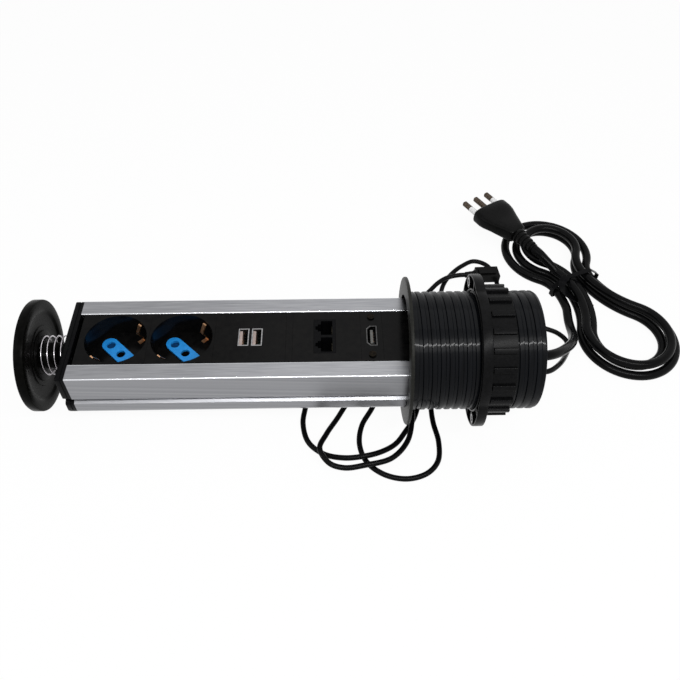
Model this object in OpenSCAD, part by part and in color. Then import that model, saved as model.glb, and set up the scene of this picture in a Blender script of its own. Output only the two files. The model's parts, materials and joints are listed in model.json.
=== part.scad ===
// Pop up desk socket: an outlet tower that slides through a flanged, threaded barrel.
// Device frame: X runs along the barrel axis towards the cords, Z points out of the outlet face,
// and X = 0 is the underside of the flange. lying() rests the device on its flange and lid rims.

/* [Tower] */
// Width of the tower across its outlet face
tower_w = 68; // [66:0.5:70]
// Height of the outlet face above the barrel axis
face_h = 16.5; // [15:0.5:19]
// Depth of the tower's upper box below the barrel axis
box_drop = 4.2; // [2.2:0.2:6]
// Length of the profile above the flange with the tower raised
tower_out = 220; // [220:1:246]
// Length of the profile inside the barrel with the tower raised
tower_in = 54; // [50:1:60]
// Wall of the aluminium profile
profile_wall = 1.8; // [1.4:0.1:2.2]
// Height of the groove along the side of the tower
groove_h = 4.4; // [2:0.1:5]
// Depth of the groove along the side of the tower
groove_depth = 2.8; // [2.6:0.1:4]
// How far the lower part of the tower is set in from its upper box
lower_inset = 0.2; // [0:0.1:0.4]
// Width of the sloping shoulder under the groove
shoulder_w = 2; // [1:0.1:2]
// Height of the sloping shoulder under the groove
shoulder_h = 1.1; // [0.5:0.1:1.5]
// Bright chamfer along the profile's front edges
edge_chamfer = 0.6; // [0.3:0.1:1]
// Thickness of each end cap
cap_t = 6; // [5:0.5:8]
// Radius of the profile's screw ports
port_r = 2.6; // [2.2:0.1:3]
// Radius of the threaded hole in each screw port
port_hole_r = 1.4; // [1:0.1:1.6]

/* [Outlet strip] */
// Width of the black outlet strip
strip_w = 43; // [42.6:0.2:44.4]
// How far the strip lies below the face of the profile
strip_sink = 0.3; // [0.1:0.1:1]
// Wall of the strip modules
module_wall = 1.5; // [1.2:0.1:2]
// Thickness of the strip's face plates
plate_t = 2.5; // [2:0.1:3.5]
// Depth of the modules behind the strip's face
module_depth = 33.2; // [30:0.2:34]
// Length of one outlet module
socket_pitch = 43.4; // [43.2:0.1:45]
// Length of the strip left of the first outlet module
strip_margin = 2.6; // [2.2:0.1:4]
// Length of the charging port module
usb_len = 47; // [44:0.5:49]
// Length of the narrow spacer
spacer_len = 4.4; // [4:0.2:8]
// Length of the network module
network_len = 45; // [42:0.5:47]
// Length of the display module
hdmi_len = 14.6; // [14:0.2:18]

/* [Outlets] */
// Radius of the outlet well
well_r = 20.3; // [19.4:0.1:20.4]
// Depth of the outlet well
well_depth = 17.4; // [15:0.2:18]
// Length of the blue pin cover
cover_len = 37.4; // [36:0.2:37.6]
// Width of the blue pin cover
cover_w = 10.8; // [10.6:0.1:13.6]
// Thickness of the blue pin cover
cover_t = 1.6; // [1:0.1:2]
// Distance of a pin hole from the centre of the outlet
pin_reach = 11.1; // [10.1:0.1:11.4]
// Radius of a pin hole
pin_hole_r = 3; // [2.7:0.1:3.1]
// Width of the sliding shutter
shutter_w = 9; // [7:0.1:9.4]
// Thickness of the sliding shutter
shutter_t = 1.7; // [1:0.1:2]
// Travel of the sliding shutter
shutter_travel = 6; // [5:0.1:6]
// Outer radius of a contact sleeve
contact_r = 3.8; // [3.6:0.1:4.2]
// Wall of a contact sleeve
contact_wall = 0.8; // [0.5:0.1:1]
// Length of a contact sleeve
contact_len = 9; // [6:0.5:10]
// Width of an earth clip
clip_w = 2.8; // [2:0.2:7]
// Thickness of an earth clip
clip_t = 0.8; // [0.5:0.1:1.2]
// How far an earth clip bulges into the well
clip_bulge = 3.4; // [2:0.1:4]
// Length of an earth clip's foot on the floor of the well
clip_foot = 5; // [3:0.1:6]

/* [Signal ports] */
// Width of a charging port's shell
usb_w = 7; // [6:0.1:8]
// Height of a charging port's shell
usb_h = 14.8; // [13:0.1:15.4]
// Wall of a charging port's shell
usb_wall = 0.7; // [0.4:0.1:1]
// Depth of a charging port
usb_depth = 14; // [12:0.5:18]
// Distance between the two charging ports
usb_pitch = 8.8; // [8.2:0.1:12]
// Thickness of the charging circuit board
board_t = 1.6; // [1:0.1:2]
// Distance between the two network jacks
jack_pitch = 14.4; // [14:0.1:15.4]
// Width of a network jack's mouth
jack_w = 12.2; // [11.6:0.1:12.8]
// Height of a network jack's mouth
jack_h = 7.6; // [7:0.1:8.2]
// Depth of a network jack's mouth
jack_depth = 13; // [11:0.5:16]
// Wall of a network jack
jack_wall = 1; // [0.7:0.1:1.2]
// Length of the display connector's mouth
hdmi_w = 16; // [14:0.1:18]
// Height of the display connector's mouth
hdmi_h = 5.8; // [4.8:0.1:6.4]
// Wall of the display connector's shell
hdmi_wall = 0.6; // [0.4:0.1:1]
// Distance between the display connector's two screws
hdmi_screw_pitch = 32.6; // [29:0.2:34]

/* [Barrel] */
// Length of the barrel below the flange
barrel_len = 84.5; // [82:0.5:110]
// Wall of the barrel under its thread
barrel_wall = 1.1; // [1:0.1:3]
// Height of the thread ridges
thread_depth = 0.8; // [0.5:0.1:1.5]
// Pitch of the thread
thread_pitch = 5.5; // [4:0.1:8]
// Width of a thread ridge at its crest
crest_w = 2.9; // [1.5:0.1:3]
// Length of the plain neck beside the flange
neck_len = 4; // [3:0.5:8]
// How far the flange stands out past the thread
flange_reach = 10; // [8:0.5:16]
// Thickness of the flange
flange_t = 2.2; // [2:0.2:5]
// Chamfer on the flange's front edge
flange_edge = 1; // [0.4:0.1:1.8]

/* [Lid] */
// Thickness of the lid
lid_t = 6.4; // [5:0.1:8]
// Chamfer on the lid's edges
lid_edge = 0.8; // [0.3:0.1:1.2]
// Gap between the raised lid and the tower
lid_gap = 17.8; // [15:0.2:24]
// How far the lid can be pressed
lid_travel = 6; // [3:0.5:6]
// Length of the guide post and of the lid's sleeve
guide_len = 10.6; // [9:0.2:11]
// Radius of the guide post
post_r = 6; // [5.6:0.1:7]
// Wall of the lid's guide sleeve
sleeve_wall = 2.5; // [1.5:0.1:3]
// Middle radius of the lid spring
spring_r = 13; // [12:0.5:15]
// Wire diameter of the lid spring
spring_wire = 1; // [0.8:0.1:1.2]
// Number of turns in the lid spring
spring_turns = 4; // [4:1:6]

/* [Clamp] */
// Distance from the flange to the clamp ring
ring_at = 43; // [36:0.5:46]
// Thickness of the clamp ring
ring_t = 6.5; // [5:0.5:8]
// Width of the clamp ring's band
ring_band = 4.8; // [4:0.1:8]
// How far each ear stands out past the ring
ear_reach = 6.4; // [6:0.1:8]
// Radius of the round end of an ear
ear_bend_r = 30; // [28:0.5:32]
// Wall round the hollow of the clamp ring
ring_wall = 1.4; // [1:0.1:1.6]
// Web at the bottom of the hollow of the clamp ring
ring_web = 2.5; // [1.5:0.1:4]
// Turn of the ears about the barrel axis
ear_turn = 128; // [0:1:180]
// Outer radius of the metal insert in an ear
insert_r = 3; // [2.8:0.1:3.4]
// Screw hole radius of the insert in an ear
insert_hole_r = 2.1; // [1.6:0.1:2.3]
// Length of the ribbed nut
nut_len = 16; // [8:0.5:18]
// Width of the nut's band inside its ribs
nut_band = 2; // [1.6:0.1:4]
// Height of a nut rib
rib_h = 2; // [0.8:0.1:2.4]
// Width of a nut rib
rib_w = 4.4; // [2:0.1:5]
// Number of ribs on the nut
rib_count = 22; // [12:1:36]

/* [Mains lead] */
// Diameter of the mains lead
mains_d = 7; // [6.4:0.1:7]
// Length of the strain relief on the tower
gland_len = 20; // [20:1:28]
// Radius of the strain relief at the tower
gland_r = 7.2; // [6:0.1:9]
// Half width of the plug at its face
plug_half_w = 18.6; // [17:0.2:20]
// Thickness of the plug
plug_t = 15; // [14:0.5:16]
// Length of the plug's body
plug_len = 38; // [37:1:44]
// Length of the plug's ribbed boot
boot_len = 20; // [20:1:24]
// Radius of a plug pin
plug_pin_r = 2.4; // [2:0.1:2.5]
// Length of a plug pin
plug_pin_len = 18; // [15:0.5:20]
// Distance between neighbouring plug pins
plug_pin_pitch = 12.4; // [9.5:0.1:13]
// Length of the pale sleeve on an outer plug pin
pin_sleeve_len = 8.5; // [6:0.5:12]
// Radius of the hank's large loop
hank_near_r = 44; // [43:0.5:46]
// Radius of the hank's small loop
hank_far_r = 38; // [38:0.5:40]
// Half width of the hank at its tie
hank_waist = 20.7; // [20.7:0.1:23]
// Thickness of the tie round the hank
tie_t = 0.8; // [0.5:0.1:1.2]
// Width of the tie round the hank
tie_w = 4; // [3:0.5:10]

/* [Data lead] */
// Diameter of the data lead
data_d = 3.8; // [3:0.1:3.8]
// Length of the strain relief on the tower
data_gland_len = 8; // [6:0.5:12]
// Radius of the strain relief at the tower
data_gland_r = 4; // [3:0.1:6]
// Length of the connector on the data lead
data_plug_len = 19; // [16:0.5:21]
// Width of the connector on the data lead
data_plug_w = 11.7; // [10:0.1:12]
// Thickness of the connector on the data lead
data_plug_t = 8; // [6:0.1:10]
// Length of the boot on the connector
data_boot_len = 9; // [6:0.5:10]

/* [Clearances] */
// Clearance between tower and barrel
slide_clear = 0.3; // [0.2:0.05:0.6]
// Clearance between lid and barrel
lid_clear = 0.5; // [0.4:0.1:1.5]
// Clearance between the thread and the clamp ring or the nut
thread_clear = 0.4; // [0.3:0.05:0.6]
// Clearance of a part that is set into another
seat_clear = 0.2; // [0.1:0.05:0.3]
// Running clearance of the guide post in its sleeve
run_clear = 0.08; // [0.05:0.01:0.1]

/* [Hidden] */
$fn = 96;

// Overlap that joins two shapes of one solid, and overshoot of a cut
lap = 0.5;

// Radii that follow from the tower's corner
corner_r = sqrt(pow(tower_w / 2, 2) + pow(face_h, 2));
bore_r = corner_r + slide_clear;
root_r = bore_r + barrel_wall;
thread_r = root_r + thread_depth;
flange_r = thread_r + flange_reach;
lid_r = bore_r - lid_clear;

// Stations along the axis
cap_top = -tower_out - cap_t;
lid_in = cap_top - lid_gap;
lid_out = lid_in - lid_t;
tower_end = tower_in + cap_t;
tower_travel = -lid_out - flange_t;

// Rest on the floor: the rims of the flange and of the lid touch it
flange_rim = -(flange_t - flange_edge);
lid_rim = lid_out + lid_edge;
tilt = atan((flange_r - lid_r) / (flange_rim - lid_rim));
axis_z = flange_r * cos(tilt) - flange_rim * sin(tilt);
low_x = lid_out * cos(tilt) - (lid_r - lid_edge) * sin(tilt);
high_x = barrel_len * cos(tilt) + root_r * sin(tilt);
axis_x = -(low_x + high_x) / 2;

// A device point in the lying frame
function lying_point(p) = [
    axis_x + p.x * cos(tilt) - p.z * sin(tilt),
    p.y,
    axis_z + p.x * sin(tilt) + p.z * cos(tilt)
];
module lying() {
    translate([axis_x, 0, axis_z]) rotate([0, -tilt, 0]) children();
}

// A section in Y and Z carried along the axis
module along(x, len) {
    translate([x, 0, 0]) rotate([90, 0, 90]) linear_extrude(len) children();
}
// A turned shape about the axis, outline in radius and station
module turned(outline) {
    rotate([0, 90, 0]) rotate_extrude() polygon(outline);
}
// A cylinder along the axis
module rod(x, len, r) {
    translate([x, 0, 0]) rotate([0, 90, 0]) cylinder(h = len, r = r);
}
// A block given by its lowest and highest corners
module block(low, high) {
    translate(low) cube(high - low);
}
// A bar with round ends, centred
module stadium(len, w) {
    square([len - w, w], center = true);
    for (s = [-1, 1]) {
        translate([s * (len - w) / 2, 0]) circle(d = w);
    }
}

// Sections of the tower
neck_w = tower_w - 2 * groove_depth;
lower_w = tower_w - 2 * lower_inset;
lower_top = -box_drop - groove_h;
channel_w = strip_w + 2 * seat_clear;
channel_wall = 1.5;
strip_top = face_h - strip_sink;
module_low = strip_top - module_depth;
ledge_w = 1.2;
ledge_t = 1.5;
port_y = channel_w / 2 + channel_wall + 2;
port_high = face_h - profile_wall - port_r - 2;
port_low = -corner_r / 2;
ports = [for (y = [-port_y, port_y], z = [port_low, port_high]) [y, z]];

module tower_outline() {
    polygon([
        [-tower_w / 2, -box_drop],
        [tower_w / 2, -box_drop],
        [tower_w / 2, face_h - edge_chamfer],
        [tower_w / 2 - edge_chamfer, face_h],
        [edge_chamfer - tower_w / 2, face_h],
        [-tower_w / 2, face_h - edge_chamfer]
    ]);
    translate([-neck_w / 2, lower_top - lap]) square([neck_w, groove_h + 2 * lap]);
    intersection() {
        circle(r = corner_r);
        polygon([
            [-lower_w / 2, -corner_r - lap],
            [lower_w / 2, -corner_r - lap],
            [lower_w / 2, lower_top - shoulder_h],
            [lower_w / 2 - shoulder_w, lower_top],
            [shoulder_w - lower_w / 2, lower_top],
            [-lower_w / 2, lower_top - shoulder_h]
        ]);
    }
}
module channel() {
    intersection() {
        circle(r = corner_r - profile_wall);
        polygon([
            [-channel_w / 2, -corner_r],
            [channel_w / 2, -corner_r],
            [channel_w / 2, face_h - edge_chamfer],
            [channel_w / 2 + edge_chamfer, face_h],
            [channel_w / 2 + edge_chamfer, face_h + lap],
            [-channel_w / 2 - edge_chamfer, face_h + lap],
            [-channel_w / 2 - edge_chamfer, face_h],
            [-channel_w / 2, face_h - edge_chamfer]
        ]);
    }
}
module side_chambers() {
    inner = channel_w / 2 + channel_wall;
    upper_low = -box_drop + profile_wall;
    for (s = [0, 1]) mirror([s, 0]) {
        translate([inner, upper_low])
            square([tower_w / 2 - profile_wall - inner, face_h - profile_wall - upper_low]);
        intersection() {
            circle(r = corner_r - profile_wall);
            translate([inner, -corner_r])
                square([lower_w / 2 - profile_wall - inner, corner_r + lower_top - profile_wall]);
        }
    }
}
module profile_section() {
    difference() {
        union() {
            difference() {
                tower_outline();
                channel();
                side_chambers();
            }
            for (p = ports) translate(p) circle(r = port_r);
            for (s = [-1, 1]) {
                translate([s * (channel_w + lap - ledge_w) / 2, module_low - ledge_t / 2])
                    square([ledge_w + lap, ledge_t], center = true);
            }
        }
        for (p = ports) translate(p) circle(r = port_hole_r);
    }
}
module profile() {
    color("silver") lying() along(-tower_out, tower_out + tower_in) profile_section();
}

// End caps and their screws
screw_r = port_hole_r - seat_clear / 4;
screw_len = 10;
screw_head_r = 2.6;
screw_head_t = 1.8;
cap_hole_r = port_hole_r + seat_clear;
spigot_len = 2;

module cap_body() {
    difference() {
        along(0, cap_t) tower_outline();
        for (p = ports) {
            translate([-lap, p.x, p.y]) rotate([0, 90, 0]) cylinder(h = cap_t + 2 * lap, r = cap_hole_r);
            translate([-lap, p.x, p.y]) rotate([0, 90, 0])
                cylinder(h = lap + screw_head_t + seat_clear, r = screw_head_r + seat_clear);
        }
    }
}
module cap_spigot() {
    intersection() {
        circle(r = corner_r - profile_wall - seat_clear);
        translate([-strip_w / 2 + ledge_w, -corner_r]) square([strip_w - 2 * ledge_w, corner_r + strip_top]);
    }
}
module cap_screw_set() {
    for (p = ports) translate([screw_head_t + seat_clear, p.x, p.y]) rotate([0, 90, 0]) {
        cylinder(h = screw_len, r = screw_r);
        translate([0, 0, -screw_head_t]) cylinder(h = screw_head_t, r = screw_head_r);
    }
}
// Guide post of the lid: the lid screw's head slides in its wide bore
screw_bore_r = 3.7;
shank_r = 2;
post_end = cap_top - guide_len;
post_floor = 3.5;
head_t = 3;
module top_cap() {
    color("#161616") lying() difference() {
        union() {
            translate([cap_top, 0, 0]) cap_body();
            along(-tower_out - lap, spigot_len + lap) cap_spigot();
            rod(post_end, guide_len + lap, post_r);
        }
        rod(post_end - lap, guide_len + cap_t, shank_r + seat_clear);
        rod(post_end + post_floor, -tower_out + spigot_len + lap - post_end - post_floor, screw_bore_r);
    }
}
module top_cap_screws() {
    color("silver") lying() translate([cap_top, 0, 0]) cap_screw_set();
}

// Lid with its guide sleeve, screw and spring
lid_hub_r = 17;
lid_dish_r = 30;
lid_dish = 1.4;
lid_tap = 3;
module lid() {
    color("#141414") lying() difference() {
        union() {
            turned([
                [0, lid_out],
                [lid_r - lid_edge, lid_out],
                [lid_r, lid_rim],
                [lid_r, lid_in - lid_edge],
                [lid_r - lid_edge, lid_in],
                [lid_dish_r, lid_in],
                [lid_dish_r - lid_dish, lid_in - lid_dish],
                [lid_hub_r, lid_in - lid_dish],
                [lid_hub_r, lid_in],
                [0, lid_in]
            ]);
            rod(lid_in - lap, guide_len + lap, post_r + run_clear + sleeve_wall);
        }
        rod(lid_in, guide_len + lap, post_r + run_clear);
        rod(lid_in - lid_tap, lid_tap + lap, shank_r + seat_clear / 10);
    }
}
module lid_screw() {
    color("silver") lying() {
        rod(lid_in - lid_tap, post_end + post_floor - lid_in + lid_tap, shank_r);
        rod(post_end + post_floor, head_t, screw_bore_r - seat_clear);
    }
}

// Sweep of a round section along points, with one reference direction for each ring
function unit(v) = v / norm(v);
function tangent(pts, i) = unit(pts[min(i + 1, len(pts) - 1)] - pts[max(i - 1, 0)]);
function ring_points(p, t, ref, r, sides) =
    let (across = unit(cross(t, ref)), up = cross(across, t))
    [for (j = [0:sides - 1])
        let (a = (j + 0.5) * 360 / sides)
        p + r * (cos(a) * across + sin(a) * up)];
module sweep(pts, refs, r, sides) {
    n = len(pts);
    verts = [for (i = [0:n - 1], v = ring_points(pts[i], tangent(pts, i), refs[i], r, sides)) v];
    walls = [for (i = [0:n - 2], j = [0:sides - 1])
        let (k = (j + 1) % sides, a = i * sides)
        each [[a + j, a + sides + j, a + k], [a + k, a + sides + j, a + sides + k]]];
    start = [for (j = [1:sides - 2]) [0, j, j + 1]];
    end_at = (n - 1) * sides;
    end = [for (j = [1:sides - 2]) [end_at, end_at + j + 1, end_at + j]];
    polyhedron(points = verts, faces = concat(walls, start, end));
}
module cord(pts, d, sides) {
    sweep(pts, [for (p = pts) [0, 0, 1]], d / 2, sides);
}
// Least gap between two rings of one tube that are more than skip rings apart
function least_gap(pts, skip, d) =
    min([for (i = [0:len(pts) - 1 - skip], j = [i + skip:len(pts) - 1]) norm(pts[i] - pts[j])]) - d;

// Lid spring, from the lid's hub to the top cap
curl_rings = 8;
spring_low = lid_in;
spring_len = cap_top - lid_in;
spring_rise = spring_len - 4 * spring_wire;
spring_angles = [for (i = [0:spring_turns * curl_rings]) i * 360 / curl_rings];
spring_ends = [0, spring_turns * 360];
function spring_point(x, a) = [x, spring_r * cos(a), spring_r * sin(a)];
spring_pts = concat(
    [spring_point(spring_low, 0), spring_point(spring_low + spring_wire, 0)],
    [for (a = spring_angles)
        spring_point(spring_low + 2 * spring_wire + spring_rise * a / spring_ends[1], a + 360 / curl_rings)],
    [for (x = [cap_top - spring_wire, cap_top]) spring_point(x, spring_ends[1] + 2 * 360 / curl_rings)]
);
spring_refs = [for (p = spring_pts) [0, p.y, p.z]];
module lid_spring() {
    echo(spring_least_gap = least_gap(spring_pts, curl_rings - 1, spring_wire));
    color("gainsboro") lying() sweep(spring_pts, spring_refs, spring_wire / 2, 6);
}

// Outlet modules
strip_start = -tower_out + strip_margin;
socket_a_x = strip_start + strip_margin + socket_pitch / 2;
socket_b_x = socket_a_x + socket_pitch;
usb_start = socket_b_x + socket_pitch / 2;
spacer_start = usb_start + usb_len;
network_start = spacer_start + spacer_len;
hdmi_start = network_start + network_len;
blank_start = hdmi_start + hdmi_len;
module_gap = 0.05;
pin_turn = -45;
cover_shift = 1.1;
well_floor = strip_top - well_depth;
shutter_low = well_floor - shutter_t - seat_clear;
shutter_half = pin_reach + pin_hole_r + seat_clear;
contact_low = module_low + 1;
contact_xs = [-pin_reach, 0, pin_reach];

// Places a shape at the centre of an outlet, turned along its pins
module at_outlet(x) {
    translate([x, 0, 0]) rotate([0, 0, pin_turn]) children();
}
module socket_housing(x, start, end) {
    difference() {
        block([start + module_gap, -strip_w / 2, module_low], [end - module_gap, strip_w / 2, strip_top]);
        translate([x, 0, well_floor]) cylinder(h = well_depth + lap, r = well_r);
        at_outlet(x) {
            block(
                [-shutter_half - seat_clear, -shutter_w / 2 - seat_clear, shutter_low],
                [shutter_half + shutter_travel + seat_clear, shutter_w / 2 + seat_clear, well_floor + lap]
            );
            for (c = contact_xs) {
                translate([c, 0, contact_low]) cylinder(h = shutter_low - contact_low + lap, r = pin_hole_r);
                translate([c, 0, contact_low])
                    cylinder(h = contact_len + seat_clear, r = contact_r + seat_clear);
            }
        }
    }
}
module pin_cover(x) {
    color("#1c86d8") lying() at_outlet(x) translate([0, 0, well_floor]) linear_extrude(cover_t) difference() {
        translate([cover_shift, 0]) stadium(cover_len, cover_w);
        for (c = contact_xs) translate([c, 0]) circle(r = pin_hole_r);
    }
}
module shutter(x) {
    slot_low = -shutter_travel - pin_hole_r + 0.3;
    slot_high = pin_reach - shutter_travel + pin_hole_r;
    slot_w = 2 * pin_hole_r - 0.4;
    color("#1769b0") lying() at_outlet(x) difference() {
        block(
            [-shutter_half, -shutter_w / 2, shutter_low + seat_clear / 2],
            [shutter_half, shutter_w / 2, well_floor - seat_clear / 2]
        );
        translate([(slot_low + slot_high) / 2, 0, shutter_low]) linear_extrude(shutter_t + 2 * seat_clear)
            stadium(slot_high - slot_low, slot_w);
    }
}
module earth_clips(x) {
    back = well_r - 0.6;
    top = well_depth - 2;
    bend = top * 0.6;
    strip = clip_t * 1.2;
    color("#b87333") lying() at_outlet(x) for (s = [0, 180]) rotate([0, 0, 90 + s])
        translate([0, clip_w / 2, well_floor]) rotate([90, 0, 0]) linear_extrude(clip_w) polygon([
            [back - clip_foot, 0],
            [back, 0],
            [back, 2 * clip_t],
            [back - clip_bulge, bend],
            [back, top],
            [back - strip, top],
            [back - clip_bulge - strip, bend],
            [back - strip, 2 * clip_t],
            [back - strip, clip_t],
            [back - clip_foot, clip_t]
        ]);
}
module contacts(x) {
    color("#c9a24a") lying() at_outlet(x) for (c = contact_xs) translate([c, 0, contact_low]) difference() {
        cylinder(h = contact_len, r = contact_r);
        translate([0, 0, contact_wall]) cylinder(h = contact_len, r = contact_r - contact_wall);
    }
}
module socket_a() {
    color("#121212") lying() socket_housing(socket_a_x, strip_start, socket_a_x + socket_pitch / 2);
}
module socket_b() {
    color("#121212") lying() socket_housing(socket_b_x, socket_a_x + socket_pitch / 2, usb_start);
}

// Three insulated wires along the bottom of the profile
wire_r = 1.4;
wire_pitch = 3.2;
module supply_wires() {
    colors = ["saddlebrown", "yellowgreen", "royalblue"];
    bed_r = corner_r - profile_wall - wire_r - seat_clear;
    lying() for (i = [-1:1]) {
        y = i * wire_pitch;
        color(colors[i + 1]) translate([socket_a_x, y, -sqrt(pow(bed_r, 2) - pow(y, 2))])
            rotate([0, 90, 0]) cylinder(h = tower_in - spigot_len - seat_clear - socket_a_x, r = wire_r);
    }
}

// Module with a face plate and walls that stand on the profile's ledges
module strip_shell(start, end) {
    low_x = start + module_gap;
    high_x = end - module_gap;
    difference() {
        block([low_x, -strip_w / 2, module_low], [high_x, strip_w / 2, strip_top]);
        block(
            [low_x + module_wall, -strip_w / 2 + module_wall, module_low - lap],
            [high_x - module_wall, strip_w / 2 - module_wall, strip_top - plate_t]
        );
        children();
    }
}

// Charging ports
usb_x = usb_start + usb_len / 2;
usb_xs = [usb_x - usb_pitch / 2, usb_x + usb_pitch / 2];
usb_low = strip_top - usb_depth;
tongue_t = 1.9;
module usb_plate() {
    color("#121212") lying() strip_shell(usb_start, spacer_start) {
        for (x = usb_xs) translate([x, 0, strip_top]) cube(
            [usb_w + 2 * seat_clear, usb_h + 2 * seat_clear, 2 * plate_t + lap], center = true);
    }
}
module usb_ports() {
    color("#d8d8d8") lying() for (x = usb_xs) translate([x, 0, usb_low]) linear_extrude(usb_depth)
        difference() {
            square([usb_w, usb_h], center = true);
            square([usb_w - 2 * usb_wall, usb_h - 2 * usb_wall], center = true);
        }
}
module usb_tongues() {
    color("#202020") lying() for (x = usb_xs) {
        edge = x - usb_w / 2 + usb_wall;
        block(
            [edge, -usb_h / 2 + 2 * usb_wall, usb_low],
            [edge + tongue_t, usb_h / 2 - 2 * usb_wall, strip_top - 1]
        );
    }
}
module usb_board() {
    inset = module_wall + module_gap + seat_clear;
    half_w = strip_w / 2 - module_wall - seat_clear;
    color("darkgreen") lying() block(
        [usb_start + inset, -half_w, usb_low - board_t], [spacer_start - inset, half_w, usb_low]);
}
module spacer_plate() {
    color("#161616") lying() strip_shell(spacer_start, network_start);
}

// Network jacks, one above the other, with their latch notches towards the lid
network_x = network_start + network_len / 2;
jack_ys = [-jack_pitch / 2, jack_pitch / 2];
jack_low_x = network_x - jack_h / 2;
jack_high_x = network_x + jack_h / 2;
latch_w = 6.2;
latch_h = 2;
key_w = 3.2;
key_h = 1.6;
jack_block_low = strip_top - jack_depth - jack_wall;
jack_body_low_x = jack_low_x - latch_h - key_h - jack_wall;
jack_body_high_x = jack_high_x + 2 * jack_wall;
jack_body_half = jack_pitch - 0.05;
module network_plate() {
    color("#121212") lying() strip_shell(network_start, hdmi_start) {
        block(
            [jack_body_low_x - seat_clear, -jack_body_half - seat_clear, strip_top - plate_t - lap],
            [jack_body_high_x + seat_clear, jack_body_half + seat_clear, strip_top + lap]
        );
    }
}
module jack_stop() {
    block(
        [jack_body_low_x - module_wall, -jack_body_half - module_wall, jack_block_low],
        [jack_body_high_x + module_wall, jack_body_half + module_wall, strip_top - plate_t]
    );
}
module network_jacks() {
    low = strip_top - jack_depth;
    high = strip_top + lap;
    color("#0c0c0c") lying() difference() {
        union() {
            block(
                [jack_body_low_x, -jack_body_half, jack_block_low],
                [jack_body_high_x, jack_body_half, strip_top]
            );
            jack_stop();
        }
        for (y = jack_ys) {
            block([jack_low_x, y - jack_w / 2, low], [jack_high_x, y + jack_w / 2, high]);
            block([jack_low_x - latch_h, y - latch_w / 2, low], [jack_low_x + lap, y + latch_w / 2, high]);
            block([jack_low_x - latch_h - key_h, y - key_w / 2, low], [jack_low_x, y + key_w / 2, high]);
        }
    }
}
contact_count = 8;
contact_pitch = 1.02;
contact_wire = 0.5;
module jack_contacts() {
    low = strip_top - jack_depth;
    color("gold") lying() for (y = jack_ys, i = [0:contact_count - 1]) {
        at = y + (i - (contact_count - 1) / 2) * contact_pitch;
        block(
            [jack_high_x - contact_wire, at - contact_wire / 2, low],
            [jack_high_x, at + contact_wire / 2, low + jack_depth * 0.75]
        );
    }
}

// Display connector
hdmi_x = hdmi_start + hdmi_len / 2;
hdmi_depth = 13;
hdmi_flange_t = 1.5;
hdmi_flange_w = 10;
hdmi_screw_r = 1.2;
hdmi_head_r = 2.4;
hdmi_head_t = 1.1;
hdmi_screw_len = 6;
module hdmi_outline(grow) {
    half_w = hdmi_w / 2 + grow;
    half_h = hdmi_h / 2 + grow;
    slant = hdmi_h * 0.4;
    polygon([
        [-half_h, half_w - slant],
        [-half_h, slant - half_w],
        [slant - half_h, -half_w],
        [half_h, -half_w],
        [half_h, half_w],
        [slant - half_h, half_w]
    ]);
}
module hdmi_holes(r) {
    for (s = [-1, 1]) translate([0, s * hdmi_screw_pitch / 2]) circle(r = r);
}
module hdmi_plate() {
    color("#121212") lying() strip_shell(hdmi_start, blank_start) {
        translate([hdmi_x, 0, strip_top - plate_t - lap]) linear_extrude(plate_t + 2 * lap) {
            hdmi_outline(hdmi_wall + seat_clear);
            hdmi_holes(hdmi_screw_r + seat_clear);
        }
    }
}
module hdmi_socket() {
    color("#c8c8c8") lying() translate([hdmi_x, 0, strip_top]) difference() {
        union() {
            translate([0, 0, -hdmi_depth]) linear_extrude(hdmi_depth) hdmi_outline(hdmi_wall);
            translate([0, 0, -plate_t - hdmi_flange_t]) linear_extrude(hdmi_flange_t)
                square([hdmi_flange_w, hdmi_screw_pitch + 3 * hdmi_head_r / 2], center = true);
        }
        translate([0, 0, hdmi_wall - hdmi_depth]) linear_extrude(hdmi_depth) hdmi_outline(0);
        translate([0, 0, -plate_t - hdmi_flange_t - lap]) linear_extrude(hdmi_flange_t + 2 * lap)
            hdmi_holes(hdmi_screw_r + seat_clear / 10);
    }
}
module hdmi_tongue() {
    low = strip_top - hdmi_depth + hdmi_wall;
    half_w = hdmi_w / 2 - hdmi_h * 0.4;
    color("#2a2a2a") lying() block([hdmi_x - 0.9, -half_w, low], [hdmi_x + 0.9, half_w, strip_top - 1]);
}
module hdmi_screws() {
    color("#3a3a3a") lying() for (s = [-1, 1]) translate([hdmi_x, s * hdmi_screw_pitch / 2, strip_top]) {
        cylinder(h = hdmi_head_t, r = hdmi_head_r);
        translate([0, 0, -hdmi_screw_len]) cylinder(h = hdmi_screw_len + hdmi_head_t / 2, r = hdmi_screw_r);
    }
}
module blank_cover() {
    color("#141414") lying() strip_shell(blank_start, tower_in - spigot_len - seat_clear);
}

// Bottom cap, where the cords leave the tower
lead_exit = [tower_end, 0, -8];
data_exit = [tower_end, -8, -18];
module bottom_cap() {
    color("#161616") lying() {
        translate([tower_end, 0, 0]) mirror([1, 0, 0]) cap_body();
        along(tower_in - spigot_len, spigot_len + lap) cap_spigot();
    }
}
module bottom_cap_screws() {
    color("silver") lying() translate([tower_end, 0, 0]) mirror([1, 0, 0]) cap_screw_set();
}
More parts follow.
